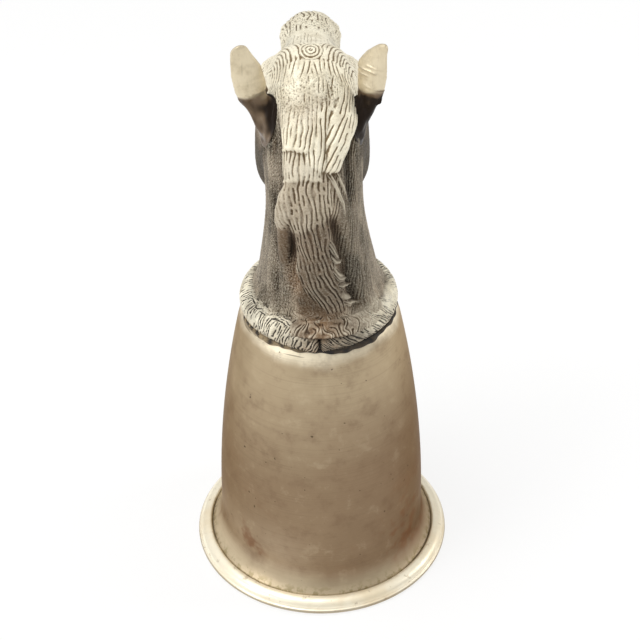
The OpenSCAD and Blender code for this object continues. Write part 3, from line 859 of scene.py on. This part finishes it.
def dark_solder():
    """Oxidised solder, scraped paler on the left."""
    f = Finish("dark_solder")
    lump = f.noise(500, 4, 0.6)
    black = f.mix(f.fit(lump, 0.35, 0.68), shade(22, 18, 14), shade(66, 54, 38))
    scraped = f.mix(f.fit(lump, 0.40, 0.60), shade(50, 42, 32), shade(168, 148, 114))
    f.set(Base_Color=f.mix(f.fit(f.x, -0.001, -0.011, 0.0, 0.85), black, scraped),
          Metallic=0.3,
          Roughness=0.62)
    f.bump(lump, 0.0004, 0.6)
    return f.material


# ---- cup and rim ----

BODY_R, CROWN_R, CUP_H, WALL = 26.3, 19.9, 76.5, 1.4
SHOULDER_R, FLARE_H = 8.0, 10.0
RIM_R, RIM_BAND, RIM_H, RIM_LEDGE, RIM_ROUND = 33.0, 3.8, 3.3, 1.2, 0.6
FLARE_CUTS, WALL_CUTS, SHOULDER_CUTS = 14, 28, 18
CUP_CUTS, RIM_CUTS = 224, 256      # round the axis
FIT_GAP = 0.05
LIP_R = RIM_R - RIM_BAND


def cup_outline():
    """The cup from its lip to the middle of its crown."""
    lip_z = RIM_H - RIM_ROUND
    drop, out = FLARE_H - lip_z, LIP_R - BODY_R
    flare_r = (drop * drop + out * out) / (2 * out)
    flare_turn = math.asin(drop / flare_r)
    taper = BODY_R - CROWN_R

    def span(lean):
        return CUP_H - SHOULDER_R * (1 - math.sin(lean)) - FLARE_H

    lean = math.atan(2 * taper / span(math.atan(2 * taper / (CUP_H - FLARE_H))))
    wall_h = span(lean)
    shoulder_in = CROWN_R - SHOULDER_R * math.cos(lean)
    line = [(LIP_R, RIM_LEDGE)]
    for i in range(FLARE_CUTS):
        a = flare_turn * (1 - i / FLARE_CUTS)
        line.append((BODY_R + flare_r * (1 - math.cos(a)), FLARE_H - flare_r * math.sin(a)))
    for i in range(WALL_CUTS):
        u = i / WALL_CUTS
        line.append((BODY_R - taper * u * u, FLARE_H + wall_h * u))
    for i in range(SHOULDER_CUTS + 1):
        a = lean + (math.pi / 2 - lean) * i / SHOULDER_CUTS
        line.append((shoulder_in + SHOULDER_R * math.cos(a), CUP_H - SHOULDER_R * (1 - math.sin(a))))
    return line


def cup_walls():
    """The cup's outside, and its inside one wall away."""
    outer = cup_outline()
    inner = []
    for i in range(len(outer) - 1, 1, -1):
        (r0, z0), (r1, z1) = outer[i - 1], outer[min(i + 1, len(outer) - 1)]
        long = math.hypot(r1 - r0, z1 - z0)
        inner.append((outer[i][0] - WALL * (z1 - z0) / long, outer[i][1] + WALL * (r1 - r0) / long))
    crown = [(0, CUP_H), (0, CUP_H - WALL)]
    return outer + crown + inner + [(LIP_R - WALL, RIM_LEDGE), (LIP_R, RIM_LEDGE)]


def rim_outline():
    """The band round the mouth: a ledge for the lip, a rolled edge, a dome and a rounded foot."""
    seat, mouth = LIP_R + FIT_GAP, LIP_R - WALL
    dome_r, dome_h = (RIM_R - RIM_ROUND) - (seat + RIM_ROUND), RIM_H - 2 * RIM_ROUND
    line = [(mouth, 0), (mouth, RIM_LEDGE), (seat, RIM_LEDGE)]
    for i in range(7):
        a = math.radians(180 - 90 * i / 6)
        line.append((seat + RIM_ROUND * (1 + math.cos(a)), RIM_H - RIM_ROUND * (1 - math.sin(a))))
    for i in range(1, 12):
        a = math.radians(90 * i / 12)
        line.append((seat + RIM_ROUND + dome_r * math.sin(a), 2 * RIM_ROUND + dome_h * math.cos(a)))
    for i in range(11):
        a = math.radians(90 - 180 * i / 10)
        line.append((RIM_R - RIM_ROUND * (1 - math.cos(a)), RIM_ROUND * (1 + math.sin(a))))
    return line + [(mouth, 0)]


cup = turned(cup_walls(), CUP_CUTS)
finish_piece(cup, "cup", "cup_shell", cup_pewter())

rim = turned(rim_outline(), RIM_CUTS)
rim_points = points_of(rim)
rim_reach = np.hypot(rim_points[:, 0], rim_points[:, 1])
paint(rim, groove=bell((rim_reach - LIP_R) / 0.45) * (rim_points[:, 2] > 1.5),
      edge=ramp(RIM_R - 0.28, RIM_R - 0.05, rim_reach))
finish_piece(rim, "rim", "rim_ring", rim_pewter())


# ---- neck and head ----

ROWS, COLS = 470, 180
LIP_RINGS = 7               # rows that close the lips
SPIGOT = 3.6                # how far the neck goes down inside the collar
SKIN_CUT = 0.20             # depth of the strokes
EYE, NOSTRIL = (10.5, 60.0), (16.15, 68.0)      # rail and turn
CLOSE, FAR = 9.0, 99.0      # how far a form reaches, and where it counts as gone
hair_finish = chased_pewter()


def ring_turns(s, shares):
    """Angles at which each row is cut, so that its columns keep these shares of the way round."""
    fine = half_turns(721)
    points = skin(s[:, None], fine[None, :])
    arc = np.cumsum(np.linalg.norm(np.diff(points, axis=1), axis=-1), axis=1)
    arc = np.concatenate([np.zeros((len(s), 1)), arc], axis=1)
    return np.array([np.interp(shares * row[-1], row, fine) for row in arc])


def at_spot(grid, rail, angle):
    """Each grid point in the flat of one spot of the skin: forward, and up to the crest."""
    ahead, aside = 0.05, 1.0
    forward = unit(skin(rail + ahead, angle) - skin(rail - ahead, angle))
    up = np.sign(angle) * (skin(rail, angle - aside) - skin(rail, angle + aside))
    up = unit(up - np.dot(up, forward) * forward)
    away = grid - skin(rail, angle)
    near = np.linalg.norm(away, axis=-1) < CLOSE
    return np.where(near, away @ forward, FAR), np.where(near, away @ up, FAR)


def eye_form(x, y):
    """An almond eye between two lids, with a fold over it: height in mm, and the painted shade in its
    gap and under its fold.
    """
    long, tall = 3.1, 1.75
    lid_r = (long * long + tall * tall) / (2 * tall)
    drop = lid_r - tall
    y = y - 0.12 * x
    gap = np.maximum(np.hypot(x, y + drop), np.hypot(x, y - drop)) - lid_r
    ball = 0.95 * np.sqrt(np.clip(1 - (np.hypot(x, y) / 3.3) ** 2, 0, 1))
    inside = ramp(0.12, -0.12, gap)
    lid = 0.95 * bell((gap - 0.45) / 0.55) * (gap > -0.2)
    fold = -0.45 * bell((gap - 1.35) / 0.35) * (y > 0) + 0.35 * bell((gap - 2.0) / 0.5) * (y > 0)
    height = inside * ball + (1 - inside) * (lid + fold)
    dark = bell(gap / 0.22) + 0.8 * bell((gap - 1.35) / 0.35) * (y > 0)
    return height, dark


def nostril_form(x, y):
    """A comma-shaped nostril with a raised wing, and the painted shade inside it."""
    a = math.radians(35)
    u, v = x * math.cos(a) + y * math.sin(a), -x * math.sin(a) + y * math.cos(a)
    v = v - 0.16 * u * u
    r = np.hypot(u / 2.5, v / 1.35)
    height = -2.0 * ramp(1.05, 0.45, r) + 0.22 * bell((r - 1.45) / 0.35)
    dark = ramp(1.15, 0.7, r)
    return height, dark


def head_halves():
    """Both cast halves, cut from one grid so that they meet along the seam."""
    p = np.linspace(0.0, CREST_P[-1], ROWS)
    half = ring_turns(s_at(p), np.linspace(0, 1, COLS + 1) ** 1.18)
    turn = np.concatenate([-half[:, :0:-1], half], axis=1)
    p = np.repeat(p[:, None], turn.shape[1], axis=1)
    s = s_at(p)
    grid = skin(s, turn)
    normal = outward(grid)
    q = arcs(grid, COLS)
    height, dark = np.zeros(s.shape), np.zeros(s.shape)
    for form, (rail, angle) in ((eye_form, EYE), (nostril_form, NOSTRIL)):
        for side in (-1, 1):
            x, y = at_spot(grid, rail, side * angle)
            lift, shadow = (np.where(np.abs(x) < CLOSE, field, 0.0) for field in form(x, y))
            height, dark = height + lift, np.maximum(dark, shadow)
    # the mouth is one line from the lips to its corner, with the lips swelling beside it
    line = 122.0 - 3.5 * (s - 15.5)
    off = (np.abs(turn) - line) * 0.17
    span = ramp(13.7, 14.3, s)
    height = height - span * 0.85 * bell(off / 0.38) + span * 0.3 * bell((np.abs(off) - 1.3) / 0.7)
    # painted shade darkens the mouth's line, as it darkens the eyes' gaps and the nostrils
    dark = np.clip(np.maximum(dark, span * bell(off / 0.40)), 0, 1)
    groove, tone, brown, speck = coat_field(q, p, s, turn)
    strokes = groove * (1 - dark)
    relief = hollows(q, p, turn) + cast_grain(q, p, 61.0) - SKIN_CUT * strokes
    # the mane's locks shade the skin beside them
    dirt, shine = wear_and_shade(relief + mane_field(q, p)[0] * mane_inner(q, p), 5, 60)
    dirt = dirt * valley_light(q, p)
    dirt = dirt + 0.35 * strokes * ramp(13.0, 13.6, s) * ramp(55, 35, np.abs(turn + 15))
    dirt = np.clip(np.maximum(dirt, dark), 0, 1)
    # painted shade and brown patina lie thick round the roots of the ears
    roots = np.hypot((q - np.sign(q) * 12.0) / 1.2, p - 53.5)
    ears = np.exp(-np.clip(roots - 3.0, 0, 9) / 1.4)
    tone = np.clip(tone + 0.65 * ears, 0, 1)
    brown = np.clip(brown + 0.4 * ears, 0, 1)
    _, neck, muzzle = parts_of(p, s, turn)
    looks = dict(dirt=dirt, shine=shine, tone=tone, brown=brown, speck=speck,
                 ink=0.25 * muzzle + 0.5 * neck)
    grid = grid + normal * (height + relief)[..., None]
    # the foot goes down inside the collar, and the lips close in a rounded end
    foot = grid[0].copy()
    foot[:, 2] = SEAT_Z - SPIGOT
    lips, tip = grid[-1], grid[-1].mean(axis=0)
    bulge = 0.9 * np.array([0.0, 0.85, -0.45])
    end = []
    for k in range(1, LIP_RINGS + 1):
        a = math.radians(90 * k / LIP_RINGS)
        end.append(tip + (lips - tip) * max(0.02, math.cos(a)) + bulge * math.sin(a))
    grid = np.concatenate([foot[None], grid, np.array(end)], axis=0)

    def stretch(values):
        return np.concatenate([values[:1], values, np.repeat(values[-1:], LIP_RINGS, axis=0)], axis=0)

    for name, node, cut in (("head_half_left", "head_left", slice(0, COLS + 1)),
                            ("head_half_right", "head_right", slice(COLS, 2 * COLS + 1))):
        piece = sheet_of(grid[:, cut])
        paint(piece, **{look: stretch(values)[:, cut] for look, values in looks.items()})
        close_rim(piece)
        finish_piece(piece, name, node, hair_finish)


head_halves()


# ---- mane ----

MANE_ROWS, MANE_COLS = 390, 236
BACK_COLS = 14         # columns of the sheet's underside
MANE_CUT = 0.26        # depth of the strokes
MANE_ROOM = 0.12       # room between the mane and the skin


def mane_piece():
    """The mane's locks, raised on a sheet that lies over the skin and dips under it at its border."""
    across = np.linspace(*MANE_Q, MANE_COLS)
    p, q = np.meshgrid(np.linspace(*MANE_P, MANE_ROWS), across, indexing="ij")
    s = s_at(np.maximum(p, 0))
    fine = half_turns(500)
    fine = np.concatenate([-fine[:0:-1], fine])
    arc = arcs(skin(s[:, :1], fine[None, :]), len(fine) // 2)
    turn = np.array([np.interp(across, row, fine) for row in arc])
    grid = skin(s, turn)
    # below the neck's edge the foot of the mane spreads over the collar
    drop = np.maximum(-p, 0)
    spread = 1 + 0.052 * drop
    grid = grid * np.stack([spread, spread, np.ones_like(spread)], -1)
    grid[..., 2] -= 0.45 * drop + 0.045 * drop ** 2
    normal = outward(grid)
    hollow = hollows(q, p, turn)
    back = grid + normal * (hollow - 1.3)[..., None]
    height, groove, tone, brown = mane_field(q, p)
    height = soften(height, 5)
    tone, brown = soften(tone, 18), soften(brown, 18)
    coat, skin_tone, skin_brown, skin_speck = coat_field(q, p, s, turn)
    # the strokes of a lock give way to those of the skin where the lock thins out
    up = p - 0.9 * np.clip(q, 0, 9) + 2.5 * drift(q * 0.9, p * 0.5, 14.0)
    lock = ramp(0.06, 0.40, height) * (1 - ramp(48.0, 58.0, up))
    groove = groove * lock + coat * (1 - lock)
    tone = tone * lock + skin_tone * (1 - lock)
    brown = brown * lock + skin_brown * (1 - lock)
    speck = 0.22 * lock + skin_speck * (1 - lock)
    # over the collar the foot is lumpy and golden, with curls that run out sideways
    foot = ramp(4.5, -1.0, p)
    curl = hair(q + 1.6 * drift(q * 0.7, p * 0.9, 16.0), p, 0.80, 1.3, 33.0,
                width=0.26, wander=0.9, cover=0.70)
    golden = 0.34 + 0.25 * drift(q * 0.7, p * 0.6, 18.0) + 0.10 * np.abs(q) / 9
    groove = groove + (curl - groove) * foot
    tone = tone + (golden - tone) * foot
    brown = brown + (0.30 + 0.65 * bell(q / 8) - brown) * foot
    height = height + 0.8 * foot * grainy(q / 1.7, p / 1.4, 35.0)
    inner = mane_inner(q, p)
    relief = hollow + cast_grain(q, p, 61.0) + height * inner - MANE_CUT * groove
    dirt, shine = wear_and_shade(relief, 7, 90)
    dirt = dirt * valley_light(q, p)
    grid = grid + normal * (relief + MANE_ROOM - 0.55 * (1 - inner))[..., None]
    # each row goes back under the skin in a few steps, so that the sheet becomes a closed tube
    steps = np.linspace(MANE_COLS - 1, 0, BACK_COLS).astype(int)

    def wrapped(front, behind):
        return np.concatenate([front, behind[:, steps], front[:, :1]], axis=1)

    piece = sheet_of(wrapped(grid, back))
    looks = dict(dirt=dirt, shine=shine, tone=tone, brown=brown, speck=speck)
    paint(piece, **{look: wrapped(values, values) for look, values in looks.items()})
    weld(piece)
    close_ends(piece)
    finish_piece(piece, "mane_locks", "mane", hair_finish)


mane_piece()


# ---- ears ----

EAR_ROWS, EAR_COLS = 110, 150
EAR_SHELL = 1.4
EAR_LENGTH = 21.3
EAR_CUT = 0.16      # depth of the wrinkles
EAR_TIP = 0.95      # share of the length at which the tip starts to round over
# each by side, -1 for the left
EAR_ROOT = {-1: (6.85, 56.0), 1: (6.85, 57.0)}      # rail and turn
EAR_LOOP = {-1: (0.78, 21.0), 1: (0.78, 17.0)}      # half the root's rails and turn
EAR_LEAN = {-1: (-0.27, -0.16, 1), 1: (0.28, -0.16, 1)}
EAR_FACE = {-1: (-0.30, 1, 0), 1: (0.75, 1, 0)}
EAR_DARK = {-1: (0.44, 0.22), 1: (0.48, 0.32)}      # where the dark of the root, brown patina deepening into painted shade, ends
EAR_CREASE = {-1: 0.15, 1: 1.0}                     # how strong the wrinkles are
# share of the length, half width and shift across in mm, from the root to the tip
EAR_SHAPES = {
    -1: [(0, 3.0, 0.0), (0.14, 2.9, 0.2), (0.33, 3.2, 0.5), (0.46, 3.6, 0.4), (0.67, 3.45, 0.1),
         (0.84, 2.55, 0.1), (0.95, 1.9, 0.0), (1, 1.5, 0.0)],
    1: [(0, 3.0, 0.0), (0.18, 2.9, 0.0), (0.38, 3.2, 0.3), (0.48, 3.5, 0.7), (0.65, 3.8, 1.5),
        (0.80, 2.8, 1.4), (0.90, 1.8, 1.1), (1, 0.9, 0.5)]}


def ear_piece(name, node, side, finish):
    """A leaf on a swollen root: hollowed at the front, folded over the root at the back."""
    up = unit(np.array(EAR_LEAN[side], float))
    face = np.array(EAR_FACE[side], float)
    front = unit(face - np.dot(face, up) * up)
    wide = np.cross(up, front)
    (rail, turn), (span, swing) = EAR_ROOT[side], EAR_LOOP[side]
    root = skin(rail, side * turn)
    a = np.linspace(0, 2 * np.pi, EAR_COLS + 1)
    rise = np.sin(a)
    shares, halves, shifts = np.array(EAR_SHAPES[side]).T
    loop = skin(rail - span * np.sin(a), side * (turn - side * swing * np.cos(a)))
    rings = []
    for u in np.linspace(0, 1, EAR_ROWS + 1):
        tip = math.sqrt(max(0.0, 1 - (max(0.0, u - EAR_TIP) / (1 - EAR_TIP)) ** 2))
        full = np.interp(u, shares, halves)
        half = full * tip
        deep = (0.72 - 0.47 * u) * full * max(tip, 0.02)
        hollow = deep - EAR_SHELL * max(tip, 0.02) + 0.8 * half
        hollow = -0.8 * half + hollow * ramp(0.10, 0.38, u)
        depth = np.where(rise > 0, deep * np.abs(rise) ** 0.9, -hollow * rise) - deep / 2
        # the flap folds over the root along a line that runs down towards the head
        fold = 0.40 - 0.05 * side * np.cos(a)
        flap = ramp(fold - 0.04, fold + 0.04, u) * (1 - ramp(fold, 0.85, u))
        depth = depth + 0.35 * (rise > 0) * rise * flap
        aside = np.interp(u, shares, shifts) + half * np.cos(a)
        ring = root + up * (EAR_LENGTH * u) - front * depth[:, None] + wide * aside[:, None]
        low = loop + up * (EAR_LENGTH * u * 0.8)
        ease = ramp(0.0, 0.36, u)
        rings.append(low * (1 - ease) + ring * ease)
    grid = np.array(rings)
    u, around = np.meshgrid(np.linspace(0, 1, EAR_ROWS + 1), a, indexing="ij")
    run = u * EAR_LENGTH
    normal = outward(grid[:, ::-1])[:, ::-1]
    wrinkle = hair(run + 0.6 * np.cos(around), around * 3.0, 1.3, 4.0, 81.0 + side, width=0.32)
    wrinkle = wrinkle * band(u, 0.45, 0.52, 0.66, 0.76) * EAR_CREASE[side]
    grain = cast_grain(around * 3.5, run, 67.0 + side)
    swell = 0.7 * grainy(around * 1.6, run / 1.7, 68.0) * band(u, 0.0, 0.06, 0.30, 0.42)
    grid = grid + normal * (swell + grain - EAR_CUT * wrinkle)[..., None]
    grid[:, -1] = grid[:, 0]
    grid[-1] = grid[-1].mean(axis=0)
    piece = sheet_of(grid[:, ::-1])
    # dark at the root, as brown patina with painted shade towards the head and under the flap; patina
    # in the wrinkles; painted shade in the hollow
    inner = ramp(-0.2, -0.6, np.sin(around)) * ramp(0.2, 0.4, u)
    ragged = u + 0.05 * drift(around * 2, u * 12, 5.0) + 0.05 * side * np.cos(around)
    low = ramp(*EAR_DARK[side], ragged)
    near = ramp(-0.2, 0.8, side * np.cos(around))       # the side towards the head
    tone = low * ((0.56 + 0.44 * near) if side < 0 else 0.96) + 0.30 * wrinkle
    tone = tone + 0.5 * inner * (1 - ramp(0.84, 0.94, u))
    tone = tone + 0.25 * (side < 0) * bell((u - 0.36) / 0.05)
    tone = tone + 0.40 * low * (grainy(around * 2.6, run / 1.1, 69.0 + side) - 0.5)
    paint(piece, tone=np.clip(tone, 0, 1)[:, ::-1])
    weld(piece)
    close_ends(piece)
    finish_piece(piece, name, node, finish)


ear_finish = ear_pewter()
ear_piece("ear_leaf_left", "ear_left", -1, ear_finish)
ear_piece("ear_leaf_right", "ear_right", 1, ear_finish)


# ---- collar and solder ----

ROLL_AT, ROLL_Z, ROLL_R = 15.1, 76.7, 4.1
ROLL_COLS, ROLL_ROWS = 620, 110      # round the neck, and round the roll
ROLL_CUT = 0.24                      # depth of the strokes
SOLDER_AT, SOLDER_Z, SOLDER_R = 18.15, 73.65, 0.8
SOLDER_COLS, SOLDER_ROWS = 256, 32


def collar_piece():
    """A roll of hair round the foot of the neck, which thins to the nape and meets itself there."""
    # nape is 0 at the nape and negative on the left
    nape, phi = np.meshgrid(np.linspace(-np.pi, np.pi, ROLL_COLS + 1),
                            np.linspace(-np.pi, np.pi, ROLL_ROWS + 1), indexing="ij")
    theta = nape - np.pi / 2
    run = nape * (ROLL_AT + ROLL_R * 0.6)
    right = (run > 0) * 1.0
    thin = bell(run / np.where(run > 0, 9.0, 5.6))
    thick = 1.0 - 0.05 * right - 0.38 * thin - 0.22 * bell(run / 0.5)
    thick = thick + 0.02 * drift(run * 0.5, phi * 2, 3.0)
    girth = phi * ROLL_R
    # strokes lie across the roll and lean over on the right, and wander on the upper left
    lean = np.where(run > 0, 0.75, -0.25)
    cut = hair(run + lean * girth, girth, 0.66, 1.7, 71.0, width=0.23, wander=0.85, cover=0.74)
    worm = hair(girth + 0.7 * drift(run * 1.1, girth * 1.1, 4.0), run, 0.78, 2.4, 75.0,
                width=0.26, wander=0.9, cover=0.80)
    upper = ramp(0.5, 1.3, phi) * (1 - right) * ramp(-29.0, -17.0, run) * ramp(-4.5, -8.0, run)
    cut = np.where(upper > 0.5, worm, cut)
    bare = bell((run - 24.0) / 5.0) * ramp(-0.2, 0.5, phi)
    cut = cut * (1 - 0.9 * bare)
    # its inner side carries on the neck's punched ground
    inner = ramp(1.05, 1.55, phi + 0.15 * drift(run, girth, 9.0)) * (1 - thin)
    cut = cut * (1 - 0.7 * inner) + 0.4 * inner * pits(run, girth, 0.8, 31.0, 0.28)
    relief = cast_grain(run, girth, 65.0) - ROLL_CUT * cut
    dirt, shine = wear_and_shade(relief, 5, 20)
    r = ROLL_R * thick + relief
    out = ROLL_AT + 1.5 * thin + r * np.cos(phi)
    grid = np.stack([out * np.cos(theta), out * np.sin(theta),
                     ROLL_Z - 1.9 * thin + r * np.sin(phi)], -1)
    grid[-1], grid[:, -1] = grid[0], grid[:, 0]
    piece = sheet_of(grid)
    # painted shade darkens the roll's underside and its inner side beside the neck
    tone = 0.15 + 0.6 * ramp(-0.2, -1.0, phi) + 0.58 * inner + 0.32 * thin
    tone = tone + 0.30 * bell((run - 8.5) / 5.0) + 0.22 * drift(run * 0.8, girth, 6.0)
    tone = tone + 0.34 * bell((run + 18.0) / 4.5) * bell((phi - 0.9) / 0.5)
    brown = 0.35 * ramp(0.3, -0.6, phi) + 0.4 * inner + 0.8 * thin
    # painted shade fills the nick where the roll meets itself
    paint(piece, dirt=np.clip(1.3 * dirt + 0.8 * bell(run / 0.35), 0, 1), shine=shine,
          tone=np.clip(tone, 0, 1), brown=np.clip(brown, 0, 1),
          speck=0.25 + 0.65 * upper, ink=np.ones_like(run))
    weld(piece)
    finish_piece(piece, "hair_roll", "collar", hair_finish)


def solder_piece():
    """The run of solder under the roll: a ragged bead that is thickest right of the nape."""
    start_clean()
    bpy.ops.mesh.primitive_torus_add(major_radius=SOLDER_AT * MM, minor_radius=SOLDER_R * MM,
                                     major_segments=SOLDER_COLS, minor_segments=SOLDER_ROWS)
    piece = bpy.context.object
    x, y, z = points_of(piece).T
    theta = np.arctan2(y, x)
    out = np.hypot(x, y) - SOLDER_AT
    nape = np.angle(np.exp(1j * (theta + np.pi / 2)))
    lump = 0.85 + 0.35 * bell((nape - 0.5) / 0.4) + 0.10 * drift(theta * 20, out * 3, 7.0)
    for size, waves, start in ((0.20, 5, 1.0), (0.16, 13, 0.0), (0.14, 31, 2.0)):
        lump = lump + size * np.sin(waves * theta + start)
    r = SOLDER_AT + out * lump
    push_points(piece, np.stack([r * np.cos(theta), r * np.sin(theta), SOLDER_Z + z * lump], -1))
    finish_piece(piece, "solder_run", "solder_seam", dark_solder())


collar_piece()
solder_piece()


# ---- floor, light and camera ----

FLOOR_SIZE, FLOOR_Z = 60.0, -0.0002      # m
FLOOR_GLOW = 0.7                         # how white the floor looks where it is seen
SKY_LOW, SKY_HIGH, SKY_POWER = 0.36, 1.0, 0.78
SKY_TILT = -0.12                         # the dome is brighter on the left
CAMERA_AT = (0.00015, -0.3209, 0.3155)
CAMERA_DOWN, CAMERA_ROLL = 37.55, -0.7   # degrees
CAMERA_LENS = 93.3


def floor():
    """A white floor that still takes the cup's soft shadow."""
    start_clean()
    bpy.ops.mesh.primitive_plane_add(size=FLOOR_SIZE, location=(0, 0, FLOOR_Z))
    ground = bpy.context.object
    ground.name = "pale_floor"
    f = Finish("pale_floor")
    f.set(Base_Color=shade(250, 250, 249), Roughness=0.95, Specular_IOR_Level=0.0)
    path = f.add("LightPath")
    seen = f.math("MAXIMUM", path.outputs["Is Camera Ray"], path.outputs["Is Glossy Ray"])
    seen = f.math("MAXIMUM", seen, path.outputs["Is Transmission Ray"])
    white = f.add("Emission", Strength=1.0)
    both = f.add("MixShader")
    feeds = (f.times(seen, FLOOR_GLOW), f.shader.outputs[0], white.outputs[0])
    for socket, feed in zip(both.inputs, feeds):
        f.put(socket, feed)
    f.put(f.nodes["Material Output"].inputs["Surface"], both.outputs[0])
    ground.data.materials.append(f.material)


def soft_light(name, place, aim, size, power):
    """A round lamp at one place that shines at another."""
    bpy.ops.object.light_add(type="AREA", location=place)
    lamp = bpy.context.object
    lamp.name = name
    lamp.data.shape = "DISK"
    lamp.data.size = size
    lamp.data.energy = power
    lamp.rotation_euler = (Vector(aim) - Vector(place)).to_track_quat("-Z", "Y").to_euler()


def sky():
    """A studio dome: pale overhead and dimmer towards the walls."""
    world = bpy.context.scene.world or bpy.data.worlds.new("studio")
    bpy.context.scene.world = world
    world.use_nodes = True
    nodes, links = world.node_tree.nodes, world.node_tree.links
    back = nodes["Background"]
    where = nodes.new("ShaderNodeTexCoord")
    part = nodes.new("ShaderNodeSeparateXYZ")
    tilt = nodes.new("ShaderNodeMath")
    fade = nodes.new("ShaderNodeValToRGB")
    links.new(where.outputs["Generated"], part.inputs[0])
    tilt.operation = "MULTIPLY_ADD"
    links.new(part.outputs["X"], tilt.inputs[0])
    tilt.inputs[1].default_value = SKY_TILT
    links.new(part.outputs["Z"], tilt.inputs[2])
    links.new(tilt.outputs[0], fade.inputs[0])
    for stop, place, grey in zip(fade.color_ramp.elements, (0.0, 0.85), (SKY_LOW, SKY_HIGH)):
        stop.position = place
        stop.color = (grey, grey, grey, 1)
    links.new(fade.outputs[0], back.inputs[0])
    back.inputs[1].default_value = SKY_POWER


def camera():
    """The photo's view, from behind and above."""
    bpy.ops.object.camera_add(location=CAMERA_AT)
    view = bpy.context.object
    view.name = "photo_camera"
    pitch, roll = math.radians(90 - CAMERA_DOWN), math.radians(CAMERA_ROLL)
    turn = Euler((pitch, 0, 0)).to_matrix() @ Matrix.Rotation(roll, 3, "Z")
    view.rotation_euler = turn.to_euler()
    view.data.sensor_width = 36.0
    view.data.lens = CAMERA_LENS
    bpy.context.scene.camera = view


floor()
sky()
soft_light("overhead", (-0.20, -0.05, 0.80), (0, 0, 0.08), 0.6, 2.4)
soft_light("left_fill", (-0.70, -0.40, 0.40), (0, 0, 0.05), 0.5, 2.0)
soft_light("right_edge", (0.60, 0.10, 0.30), (0, 0, 0.06), 0.22, 1.0)
camera()
bpy.context.scene.view_settings.view_transform = "Standard"
